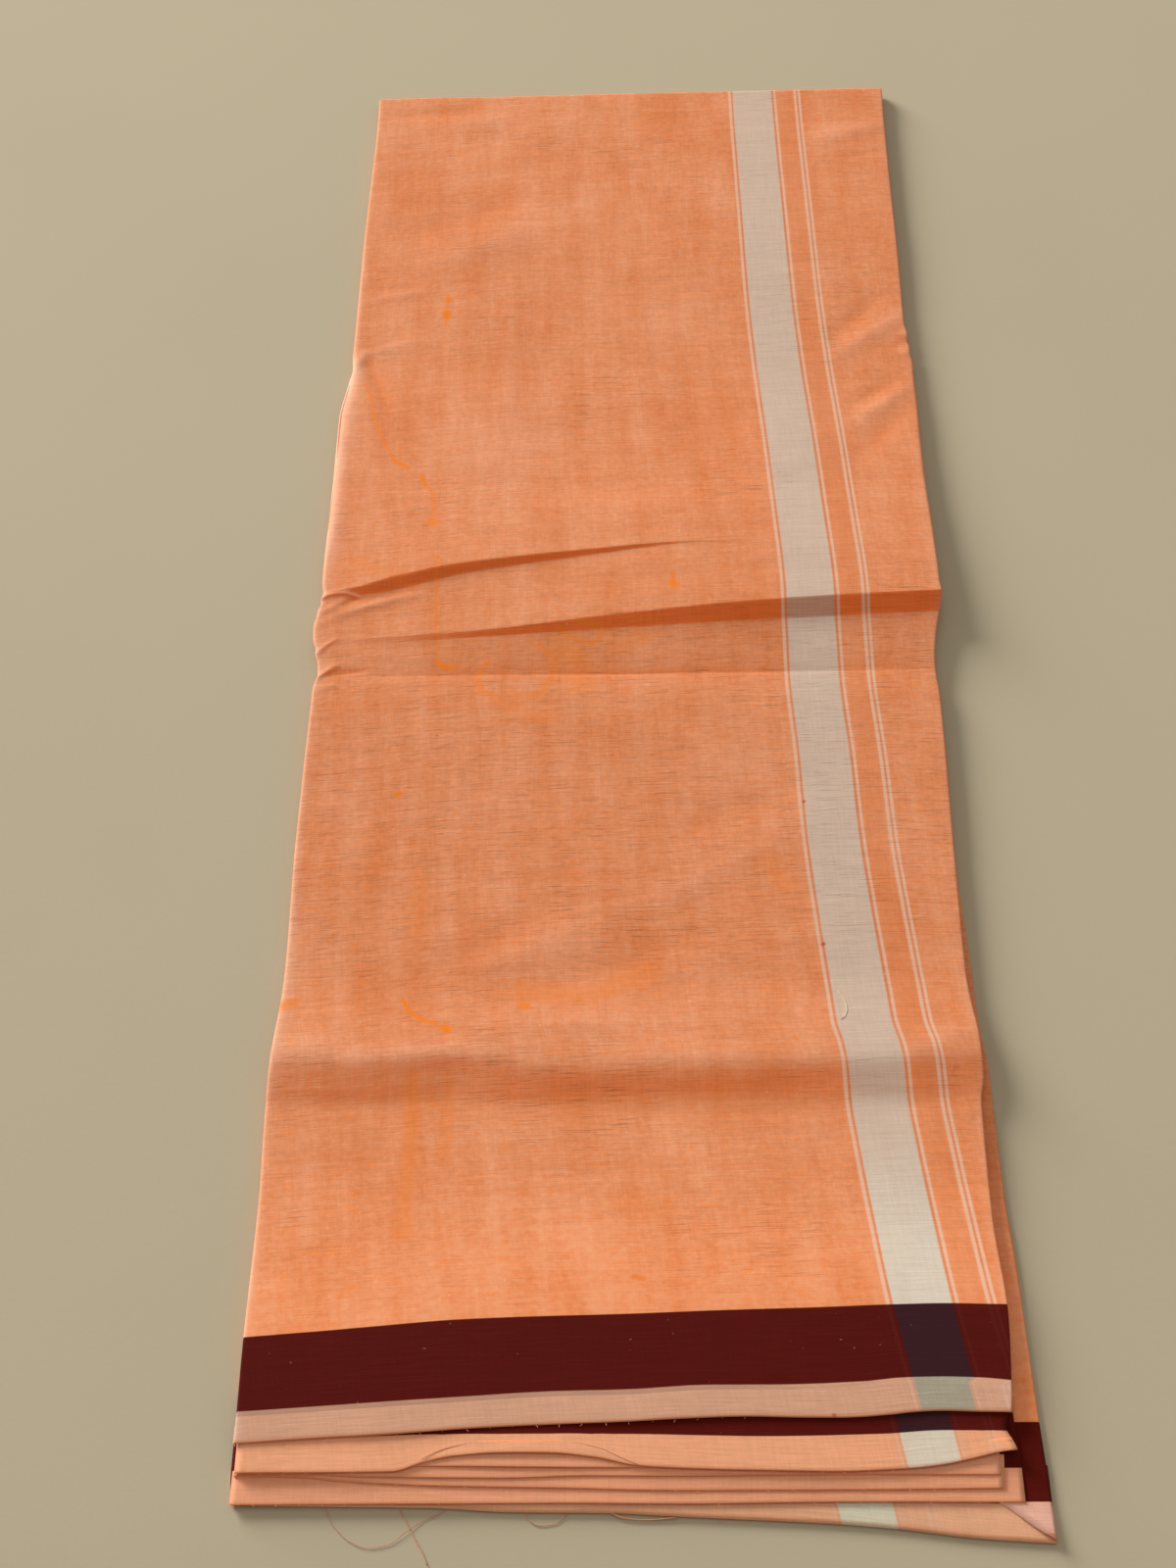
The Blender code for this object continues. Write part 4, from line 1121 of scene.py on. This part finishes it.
    # Painted shade: the turned fold of the hem strip is painted orange, where the gaps between the leaves lie
    # in shade.
    hem_strip = finish.mix(SHOWS["hem fold"] * (1 - along.between(*HEM_FOLD_SHADE)), hem_strip, colours.orange)
    cloth = finish.mix(in_strip, cloth, hem_strip)
    cloth = finish.mix(1.0, cloth, tone, "MULTIPLY")
    if marked:
        place = finish.add("ShaderNodeTexCoord").outputs["Object"]
        cloth = finish.mix((1 - band) * drawn_marks(finish, place, MARKS), cloth, colours.stain)
        cloth = finish.mix(SHOWS["specks"] * drawn_marks(finish, place, RED_SPECKS), cloth, SPECK)
    lint = (SHOWS["lint"] - SHOWS["lint lost in band"] * band) * yarns["lint"].between(*LINT_SPOTS)
    cloth = finish.mix(lint, cloth, LINT)

    turn = 2 * math.pi / YARN_PAIR
    weave = (across * turn).wave() * (along * turn).wave()
    height = WEAVE_RELIEF["weave"] * weave + WEAVE_RELIEF["weft"] * yarns["weft"]
    height = height + WEAVE_RELIEF["warp"] * yarns["warp"] - WEAVE_RELIEF["dark picks"] * picks
    gloss = {"Sheen_Weight": 0.03, "Sheen_Roughness": 0.5, "Specular_IOR_Level": 0.07}
    roughness = CLOTH_ROUGHNESS - SILVER_SMOOTHNESS * silver
    return finish.surface(cloth, roughness, height, CLOTH_BUMP, **gloss)


def thread_finish(name, colour):
    """A single loose yarn, paler where it untwists."""
    finish = Finish(name)
    position = finish.add("ShaderNodeTexCoord").outputs["Object"]
    twist = finish.noise(position, scale=TWIST_SCALE, detail=1.0)
    gain, lift = UNTWISTED
    pale = tuple(min(1.0, gain * part + lift) for part in colour[:3]) + (1.0,)
    tone = finish.mix(twist, colour, pale)
    gloss = {"Sheen_Weight": 0.3, "Sheen_Roughness": 0.5}
    return finish.surface(tone, THREAD_ROUGHNESS, twist, THREAD_BUMP, **gloss)


def table_finish(colour):
    """A plain matt table top with a very faint unevenness and a painted shadow towards the near end."""
    finish = Finish("Table top")
    position = finish.add("ShaderNodeTexCoord").outputs["Object"]
    cloud = finish.noise(position, scale=TABLE_CLOUD_SCALE, detail=3.0)
    grain = finish.noise(position, scale=TABLE_GRAIN_SCALE, detail=2.0)
    along = Signal(finish, finish.add("ShaderNodeSeparateXYZ", {0: position}).outputs[1])
    # Painted shadow: the table darkens a little towards the near end.
    near = 1 - along.between(*TABLE_SHADE)
    base, cloud_share, grain_share, painted_shadow_share = TABLE_TONE
    tone = base + cloud_share * cloud + grain_share * grain - painted_shadow_share * near
    colour = finish.mix(tone, BLACK, colour)
    return finish.surface(colour, TABLE_ROUGHNESS, grain, TABLE_BUMP, Specular_IOR_Level=0.05)


def dress(piece, *nodes):
    """Makes a piece ride with the pack and stand for its nodes, whose own parts it hides."""
    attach(piece, "root")
    for node in nodes:
        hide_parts(node)
    return piece


class DHOTI_OT_top_leaf(bpy.types.Operator):
    """Lays the top leaf with its tucks and creases, rolled over the far fold"""

    bl_idname = "dhoti.top_leaf"
    bl_label = "Top leaf"

    def execute(self, context):
        sizes, colours = context.scene.dhoti_sizes, context.scene.dhoti_colours
        net, creases, far_row, near_row = top_net(sizes)
        roll = far_roll(net[0])
        hem_row = len(roll) + len(net) - 1
        grid = np.concatenate([roll, net, hem_rows(net[-1], sizes.hem / MM, TOP_HEM_RETURN)])
        chart = top_chart(grid, len(roll) + far_row, len(roll) + near_row, hem_row)
        shares = np.zeros((*grid.shape[:2], 2))
        # Painted shade where the leaf turns from the light; then how pale or shaded it is painted at its
        # edges, crests and hollows.
        shares[len(roll) : hem_row, :, 0] = painted_shade_share(net)[:-1]
        shares[len(roll) : hem_row, :, 1] = pale_and_shade_share(net, creases)[:-1]
        material = cloth_finish("Top leaf cloth", colours, marked=True)
        leaf = make_net("top_leaf", grid, material, chart, sizes.wall, shares)
        dress(leaf, "leaf_top")
        return {"FINISHED"}


def leaf_end(row, sizes, material):
    """The end of one leaf from the hidden layers to its turned hem."""
    name, node, _, height, left, right_edge, hem, lift, silver_x, silver_share = row
    radius = sizes.hem / MM * (LEAF_HEM_SHARE if node else INNER_HEM_SHARE)
    shares = np.linspace(0, 1, LEAF_COLUMNS)
    widest = max(x for _, x in right_edge)
    hem_y = pairs_curve(hem, left + (widest - left) * shares) + radius
    grid = np.zeros((LEAF_ROWS + 1, LEAF_COLUMNS, 3))
    for step in range(LEAF_ROWS + 1):
        part = (step / LEAF_ROWS) ** LEAF_CROWDING
        y = LEAF_START + (hem_y - LEAF_START) * part
        grid[step, :, 0] = left + (pairs_curve(right_edge, y) - left) * shares
        grid[step, :, 1] = y
        grid[step, :, 2] = height + pairs_curve(lift, grid[step, :, 0]) * part**LEAF_LIFT_POWER
    grid[:, :, 2] += crinkle(grid[:, :, 0], grid[:, :, 1], LEAF_CRINKLE_SHARE * sizes.crinkle / MM, height)
    turned = hem_rows(grid[-1], radius, LEAF_HEM_RETURN)
    turned[-1, :, 0] = left + (pairs_curve(right_edge, turned[-1, :, 1]) - left) * shares
    whole = np.concatenate([grid, turned])
    way = way_along(whole)
    along = way - way[LEAF_ROWS]
    across = whole[:, :, 0] - NO_STRIPES
    if silver_x is not None:
        across = (whole[:, :, 0] - silver_x - SILVER_SLANT * (whole[:, :, 1] - hem_y)) / silver_share
        edge = pairs_curve(SECOND_BAND_EDGE, whole[:, :, 0]) - hem_y
        along = np.where(along > edge, STRIP_WIDTH + along - edge, along * STRIP_WIDTH / edge)
    wall = sizes.wall * (1.0 if node else INNER_WALL_SHARE)
    return make_net(name, whole, material, np.stack([across, along], axis=2), wall)


class DHOTI_OT_leaf_ends(bpy.types.Operator):
    """Lays the stepped ends of the leaves under the top one"""

    bl_idname = "dhoti.leaf_ends"
    bl_label = "Leaf ends"

    def execute(self, context):
        sizes, colours = context.scene.dhoti_sizes, context.scene.dhoti_colours
        second = cloth_finish("Second leaf cloth", colours)
        lower = cloth_finish("Lower leaf cloth", colours)
        for row in LEAF_ENDS:
            _, node, slot = row[:3]
            piece = leaf_end(row, sizes, second if node == "leaf_second" else lower)
            dress(piece, *([node] if node else []))
        return {"FINISHED"}


def bottom_edges(y):
    """Left and right x of the bottom leaf at y."""
    return table_column(BOTTOM_OUTLINE, 1, y), table_column(BOTTOM_OUTLINE, 2, y)


def fold_middle(y):
    """Height of the fold between the two plies of the bottom leaf at y."""
    fade = np.clip((y - HEM_PLY_START) / HEM_PLY_FADE, 0.0, 1.0)
    return HEM_PLY_TOP / 2 + (DOUBLED / 2 - HEM_PLY_TOP / 2) * fade


def ply_net(line, height):
    """A ply of the bottom leaf from its far end to an end line, with edges rounded to the fold's middle."""
    turn = np.radians(EDGE_ANGLES[:-1])
    outward = 1 - np.sin(turn)
    far_y = BOTTOM_OUTLINE[0][0]
    ends_y = [float(pairs_curve(line, float(edge))) for edge in bottom_edges(BOTTOM_END)]
    rows = []
    for part in BOTTOM_ROWS:
        left_y, right_y = (end_y * (1 - part) + far_y * part for end_y in ends_y)
        left, right = bottom_edges(left_y)[0], bottom_edges(right_y)[1]
        left_fall, right_fall = (fold_middle(y) - height for y in (left_y, right_y))
        left_width, right_width = abs(left_fall), abs(right_fall)
        inner = np.linspace(left + left_width, right - right_width, BOTTOM_COLUMNS)
        x = np.concatenate([left + left_width * outward, inner, (right - right_width * outward)[::-1]])
        z = np.full(len(x), float(height))
        z[: len(turn)] += left_fall * (1 - np.cos(turn))
        z[-len(turn) :] += (right_fall * (1 - np.cos(turn)))[::-1]
        rows.append(np.stack([x, pairs_curve(line, x) * (1 - part) + far_y * part, z], axis=1))
    return np.array(rows)


def bottom_chart(net, along):
    """Chart of a ply of the bottom leaf, whose silver stripe slants a little."""
    silver_y, silver_x = BOTTOM_SILVER
    across = (net[:, :, 0] - silver_x - SILVER_SLANT * (net[:, :, 1] - silver_y)) / BOTTOM_SILVER_SHARE
    return np.stack([across, along], axis=2)


class DHOTI_OT_bottom_leaf(bpy.types.Operator):
    """Lays the bottom leaf, folded double, with its turned-in corner"""

    bl_idname = "dhoti.bottom_leaf"
    bl_label = "Bottom leaf"

    def execute(self, context):
        sizes, colours = context.scene.dhoti_sizes, context.scene.dhoti_colours
        upper = ply_net(UPPER_PLY_END, DOUBLED)
        corner_left, corner_width, corner_far, corner_length, corner_rise = CORNER
        corner = np.clip((upper[:, :, 0] - corner_left) / corner_width, 0.0, 1.0)
        corner *= np.clip((corner_far - upper[:, :, 1]) / corner_length, 0.0, 1.0)
        upper[:, :, 2] += corner_rise * corner
        rounded = len(EDGE_ANGLES) - 1
        flat = upper[:, rounded:-rounded]
        height = BOTTOM_CRINKLE_SHARE * sizes.crinkle / MM
        flat[:, :, 2] += crinkle(flat[:, :, 0], flat[:, :, 1], height, BOTTOM_CRINKLE_SEED)
        chart = bottom_chart(upper, upper[:, :, 1] - UPPER_PLY_HEM)
        leaf = make_net("bottom_leaf", upper, cloth_finish("Bottom leaf cloth", colours), chart, sizes.wall)
        dress(leaf, "leaf_bottom")

        lower = ply_net(BOTTOM_HEM, 0.0)
        lower[-1, :, 1] += HEM_PLY_TOP / 2
        turned = []
        for angle in np.radians(HEM_ANGLES):
            row = lower[-1].copy()
            row[:, 1] -= HEM_PLY_TOP / 2 * math.sin(angle)
            row[:, 2] = row[:, 2] * math.cos(angle) + HEM_PLY_TOP / 2 * (1 - math.cos(angle))
            turned.append(row)
        fold_end = turned[-1]
        turned += [fold_end + np.array([0.0, way, 0.0]) for way in BOTTOM_HEM_RETURNS]
        whole = np.concatenate([lower, np.array(turned)])
        chart = bottom_chart(whole, np.abs(whole[:, :, 1] - lower[-1, :, 1]))
        faces = [face[::-1] for face in net_faces(*whole.shape[:2])]
        material = cloth_finish("Lower ply cloth", colours)
        ply = make_net("bottom_ply", whole, material, chart, sizes.wall, faces=faces)
        dress(ply)
        return {"FINISHED"}


def top_reader(net):
    """Reads the left edge, the right edge and, in each span, the lowest height of the top leaf at y."""
    rounded = len(EDGE_ANGLES)
    columns = np.linspace(rounded, net.shape[1] - 1 - rounded, HIDDEN_COLUMNS).astype(int)
    reach = columns[1] - columns[0]
    x, places, z = (net[::-1, :, axis] for axis in range(3))

    def read(y):
        heights = np.array([np.interp(y, places[:, column], z[:, column]) for column in range(net.shape[1])])
        left, right = (np.interp(y, places[:, edge], x[:, edge]) for edge in (0, -1))
        lowest = [heights[max(rounded, column - reach) : column + reach].min() for column in columns]
        return left, right, np.array(lowest)

    return read


def hidden_ring(read, y, follow, height, inset, wander):
    """A closed section of one doubled hidden layer, folded at both its edges."""
    left, right, heights = read(y)
    half = HIDDEN_HALF
    left = left + inset + wander[0] + half
    right = right - inset - wander[1] - half
    rise = np.minimum((heights - FLAT_TOP) * follow, heights - HIDDEN_CLEAR - half - height)
    x = np.linspace(left, right, HIDDEN_COLUMNS)
    turn = np.radians(HIDDEN_CORNER)
    middle = height + rise
    ring = [(x[k], y, middle[k] + half) for k in range(HIDDEN_COLUMNS)]
    ring += [(right + half * math.cos(a), y, middle[-1] + half * math.sin(a)) for a in turn[1:-1]]
    ring += [(x[k], y, middle[k] - half) for k in range(HIDDEN_COLUMNS - 1, -1, -1)]
    ring += [(left - half * math.cos(a), y, middle[0] - half * math.sin(a)) for a in turn[1:-1]]
    return ring


class DHOTI_OT_hidden_layers(bpy.types.Operator):
    """Lays the hidden layers, which show as folded edges down both long sides"""

    bl_idname = "dhoti.hidden_layers"
    bl_label = "Hidden layers"

    def execute(self, context):
        sizes, colours = context.scene.dhoti_sizes, context.scene.dhoti_colours
        read = top_reader(top_net(sizes)[0])
        places = [*np.arange(HIDDEN_FAR, HIDDEN_NEAR, -HIDDEN_STEP), HIDDEN_NEAR]
        silver_x, hem_y = HIDDEN_CHART
        points, faces = [], []
        for level, (height, follow, inset) in enumerate(HIDDEN_LAYERS):
            first = len(points)
            for y in places:
                spots = (Vector((y / WANDER_LENGTH, level * WANDER_LAYER, side)) for side in WANDER_SIDES)
                wander = [noise.noise(spot) * WANDER_REACH for spot in spots]
                ring = hidden_ring(read, y, follow, height, inset, wander)
                points += ring
            size = len(ring)
            for start in range(first, len(points) - size, size):
                for place in range(size):
                    after = (place + 1) % size
                    faces.append((start + place, start + size + place, start + size + after, start + after))
        chart = [(x - silver_x, y - hem_y) for x, y, _ in points]
        material = cloth_finish("Hidden layer cloth", colours)
        layers = make_piece("hidden_layers", points, faces, material, chart, HIDDEN_WALL_SHARE * sizes.wall)
        dress(layers, "hidden_folds")
        return {"FINISHED"}


def tube(points, radius):
    """Points and faces of a thin round tube along a smooth line."""
    points = np.asarray(points, float)
    ways = np.concatenate([[0.0], np.cumsum(np.linalg.norm(np.diff(points, axis=0), axis=1))])
    wanted = np.linspace(0, ways[-1], (len(points) - 1) * THREAD_STEPS + 1)
    line = np.stack([smooth_curve(ways, points[:, axis], wanted) for axis in range(3)], axis=1)
    tangents = np.gradient(line, axis=0)
    tangents /= np.linalg.norm(tangents, axis=1, keepdims=True)
    side = np.cross(tangents, (0.0, 0.0, 1.0))
    side /= np.linalg.norm(side, axis=1, keepdims=True)
    above = np.cross(side, tangents)
    angles = np.arange(THREAD_SIDES) * 2 * math.pi / THREAD_SIDES
    rings = line[:, None] + radius * (
        np.cos(angles)[None, :, None] * side[:, None] + np.sin(angles)[None, :, None] * above[:, None]
    )
    faces = []
    for ring in range(len(line) - 1):
        for place in range(THREAD_SIDES):
            start, after = ring * THREAD_SIDES, (place + 1) % THREAD_SIDES
            far = start + THREAD_SIDES
            faces.append((start + place, start + after, far + after, far + place))
    last = (len(line) - 1) * THREAD_SIDES
    faces.append(tuple(range(THREAD_SIDES))[::-1])
    faces.append(tuple(range(last, last + THREAD_SIDES)))
    return rings.reshape(-1, 3), faces


class DHOTI_OT_threads(bpy.types.Operator):
    """Lays the loose threads that hang out of the hems"""

    bl_idname = "dhoti.threads"
    bl_label = "Loose threads"

    def execute(self, context):
        orange = thread_finish("Orange thread", ORANGE_THREAD)
        pale = thread_finish("Pale thread", PALE_THREAD)
        for name, radius, points in THREADS:
            rings, faces = tube(points, radius)
            dress(make_piece(name, rings, faces, pale if name == "thread_on_the_silver" else orange))
        return {"FINISHED"}


# A frayed end: its radius in millimetres, its tip and its bend as shares of its length, the least and the
# most that it leans, and its least and greatest size.
FRAY_RADIUS = 0.11
FRAY_TIP = (0.1, 0.0, 1.0)
FRAY_BEND = (0.35, 0.0, 0.5)
FRAY_LEAN = ((1.3, -0.3, -0.9), (1.62, 0.3, 0.9))
FRAY_SIZES = (0.35, 1.25)
FRAY_STEPS = 3
FRAY_SIDES = 4


def fray_tree(sizes, material):
    """Nodes that stand short bent yarn ends along a line, with their sizes as inputs."""
    tree = bpy.data.node_groups.new("Frayed ends", "GeometryNodeTree")
    outside = tree.interface
    outside.new_socket("Geometry", in_out="INPUT", socket_type="NodeSocketGeometry")
    for name, kind, default in (
        ("Gap", "NodeSocketFloat", sizes.fray_gap),
        ("Length", "NodeSocketFloat", sizes.fray),
        ("Radius", "NodeSocketFloat", FRAY_RADIUS * MM),
        ("Seed", "NodeSocketInt", sizes.fray_seed),
    ):
        outside.new_socket(name, in_out="INPUT", socket_type=kind).default_value = default
    outside.new_socket("Geometry", in_out="OUTPUT", socket_type="NodeSocketGeometry")

    def add(kind, values=(), **settings):
        node = tree.nodes.new(kind)
        for key, value in settings.items():
            setattr(node, key, value)
        for key, value in dict(values).items():
            if isinstance(value, bpy.types.NodeSocket):
                tree.links.new(value, node.inputs[key])
            else:
                node.inputs[key].default_value = value
        return node

    given = add("NodeGroupInput").outputs
    line = add("GeometryNodeMeshToCurve", {"Mesh": given["Geometry"]})
    sockets = {"Curve": line.outputs[0], "Length": given["Gap"]}
    stops = add("GeometryNodeCurveToPoints", sockets, mode="LENGTH")
    tip = add("ShaderNodeVectorMath", {0: FRAY_TIP, "Scale": given["Length"]}, operation="SCALE")
    bend = add("ShaderNodeVectorMath", {0: FRAY_BEND, "Scale": given["Length"]}, operation="SCALE")
    sockets = {"Resolution": FRAY_STEPS, "Start": (0.0, 0.0, 0.0)}
    sockets |= {"Middle": bend.outputs[0], "End": tip.outputs[0]}
    yarn = add("GeometryNodeCurveQuadraticBezier", sockets)
    ring = add("GeometryNodeCurvePrimitiveCircle", {"Resolution": FRAY_SIDES, "Radius": given["Radius"]})
    sockets = {"Curve": yarn.outputs[0], "Profile Curve": ring.outputs[0], "Fill Caps": True}
    solid = add("GeometryNodeCurveToMesh", sockets)
    lean = add(
        "FunctionNodeRandomValue",
        {"Min": FRAY_LEAN[0], "Max": FRAY_LEAN[1], "Seed": given["Seed"]},
        data_type="FLOAT_VECTOR",
    )
    sockets = {2: FRAY_SIZES[0], 3: FRAY_SIZES[1], "Seed": given["Seed"]}
    size = add("FunctionNodeRandomValue", sockets, data_type="FLOAT")
    sockets = {"Points": stops.outputs[0], "Instance": solid.outputs[0]}
    sockets |= {"Rotation": lean.outputs[0], "Scale": size.outputs[1]}
    stood = add("GeometryNodeInstanceOnPoints", sockets)
    real = add("GeometryNodeRealizeInstances", {0: stood.outputs[0]})
    coloured = add("GeometryNodeSetMaterial", {"Geometry": real.outputs[0], "Material": material})
    add("NodeGroupOutput", {0: coloured.outputs[0]})
    return tree


def frayed_line(name, points, sizes, tree):
    """Frayed yarn ends along a hem, as a plain mesh."""
    mesh = bpy.data.meshes.new(name + "_line")
    placed = (np.asarray(points, float) + PLAN_SHIFT) * MM
    mesh.from_pydata(placed.tolist(), [(k, k + 1) for k in range(len(points) - 1)], [])
    guide = bpy.data.objects.new(name + "_line", mesh)
    bpy.context.scene.collection.objects.link(guide)
    nodes = guide.modifiers.new("Frayed ends", "NODES")
    nodes.node_group = tree
    values = {"Gap": sizes.fray_gap, "Length": sizes.fray, "Seed": sizes.fray_seed + len(name)}
    for item in tree.interface.items_tree:
        if item.in_out == "INPUT" and item.name in values:
            nodes[item.identifier] = values[item.name]
    evaluated = guide.evaluated_get(bpy.context.evaluated_depsgraph_get())
    plain = bpy.data.meshes.new_from_object(evaluated)
    bpy.data.objects.remove(guide)
    piece = bpy.data.objects.new(name, plain)
    bpy.context.scene.collection.objects.link(piece)
    return piece


HEMS = {row[0]: row[6] for row in LEAF_ENDS}
FRAY_INSET = 0.1
# Where frayed ends stand: name, hem and height.
FRAYED_HEMS = (
    ("fray_of_the_top_hem", HEM_LINE[:8], 6.95),
    ("fray_of_the_second_hem", HEMS["second_leaf"][:-3], 5.8),
    ("fray_of_the_third_hem", HEMS["third_leaf"], 4.4),
    ("fray_of_the_fourth_hem", HEMS["fourth_leaf"], 3.2),
    ("fray_of_the_bottom_hem", BOTTOM_HEM, 0.8),
)


class DHOTI_OT_frayed_hems(bpy.types.Operator):
    """Stands short frayed yarn ends along the hems"""

    bl_idname = "dhoti.frayed_hems"
    bl_label = "Frayed hems"

    def execute(self, context):
        sizes = context.scene.dhoti_sizes
        tree = fray_tree(sizes, thread_finish("Frayed yarn", FRAYED_YARN))
        for name, hem, height in FRAYED_HEMS:
            points = [(x, y - FRAY_INSET, height) for x, y in hem]
            dress(frayed_line(name, points, sizes, tree))
        return {"FINISHED"}


TABLE_REACH = 2.2
TABLE_DROP = 0.0002
# name, place, size, power, colour; each points at the origin
LIGHTS = (
    ("Window light", (-6.18, 6.87, 3.09), 4.8, 1480.0, (0.98, 0.99, 1.0)),
    ("Room light", (0.2, 0.2, 3.2), 2.6, 15.0, (1.0, 0.95, 0.9)),
)
ROOM_COLOUR = (1.0, 0.94, 0.88, 1.0)
ROOM_STRENGTH = 0.32


class DHOTI_OT_stage(bpy.types.Operator):
    """Sets the table top, the soft light and the camera"""

    bl_idname = "dhoti.stage"
    bl_label = "Table, light and camera"

    def execute(self, context):
        scene = context.scene
        around = ((-1, -1), (1, -1), (1, 1), (-1, 1))
        corners = [(across * TABLE_REACH, along * TABLE_REACH, -TABLE_DROP) for across, along in around]
        mesh = bpy.data.meshes.new("Table")
        mesh.from_pydata(corners, [], [(0, 1, 2, 3)])
        mesh.materials.append(table_finish(scene.dhoti_colours.table))
        table = bpy.data.objects.new("Table", mesh)
        scene.collection.objects.link(table)

        for name, place, size, power, colour in LIGHTS:
            lamp = bpy.data.lights.new(name, "AREA")
            lamp.shape = "DISK"
            lamp.size = size
            lamp.energy = power
            lamp.color = colour
            light = bpy.data.objects.new(name, lamp)
            light.location = place
            light.rotation_euler = (-Vector(place)).to_track_quat("-Z", "Y").to_euler()
            scene.collection.objects.link(light)

        world = bpy.data.worlds.new("Soft room")
        world.use_nodes = True
        background = world.node_tree.nodes["Background"]
        background.inputs["Color"].default_value = ROOM_COLOUR
        background.inputs["Strength"].default_value = ROOM_STRENGTH
        scene.world = world
        scene.view_settings.view_transform = "Standard"

        lens = bpy.data.cameras.new("Camera")
        lens.lens = CAMERA_LENS
        lens.sensor_width = CAMERA_SENSOR
        camera = bpy.data.objects.new("Camera", lens)
        camera.location = (np.array(CAMERA_PLACE) + PLAN_SHIFT) * MM
        tilt = Matrix.Rotation(CAMERA_YAW, 3, "Z") @ Matrix.Rotation(CAMERA_TILT, 3, "X")
        camera.rotation_mode = "QUATERNION"
        camera.rotation_quaternion = (tilt @ Matrix.Rotation(CAMERA_ROLL, 3, "Z")).to_quaternion()
        scene.collection.objects.link(camera)
        scene.camera = camera
        return {"FINISHED"}


class DHOTI_PT_panel(bpy.types.Panel):
    """Lists the dhoti's sizes, colours and pieces"""

    bl_idname = "DHOTI_PT_panel"
    bl_label = "Folded dhoti"
    bl_space_type = "VIEW_3D"
    bl_region_type = "UI"
    bl_category = "Dhoti"

    def draw(self, context):
        layout = self.layout
        for group in (context.scene.dhoti_sizes, context.scene.dhoti_colours):
            for name in group.__annotations__:
                layout.prop(group, name)
        for operator in OPERATORS:
            layout.operator(operator.bl_idname)


OPERATORS = (
    DHOTI_OT_stage,
    DHOTI_OT_bottom_leaf,
    DHOTI_OT_hidden_layers,
    DHOTI_OT_leaf_ends,
    DHOTI_OT_top_leaf,
    DHOTI_OT_threads,
    DHOTI_OT_frayed_hems,
)
CLASSES = (DhotiSizes, DhotiColours, *OPERATORS, DHOTI_PT_panel)


def register():
    for item in CLASSES:
        bpy.utils.register_class(item)
    bpy.types.Scene.dhoti_sizes = PointerProperty(type=DhotiSizes)
    bpy.types.Scene.dhoti_colours = PointerProperty(type=DhotiColours)


def unregister():
    del bpy.types.Scene.dhoti_colours
    del bpy.types.Scene.dhoti_sizes
    for item in reversed(CLASSES):
        bpy.utils.unregister_class(item)


def main():
    register()
    for operator in OPERATORS:
        family, action = operator.bl_idname.split(".")
        getattr(getattr(bpy.ops, family), action)()


if __name__ == "__main__":
    main()
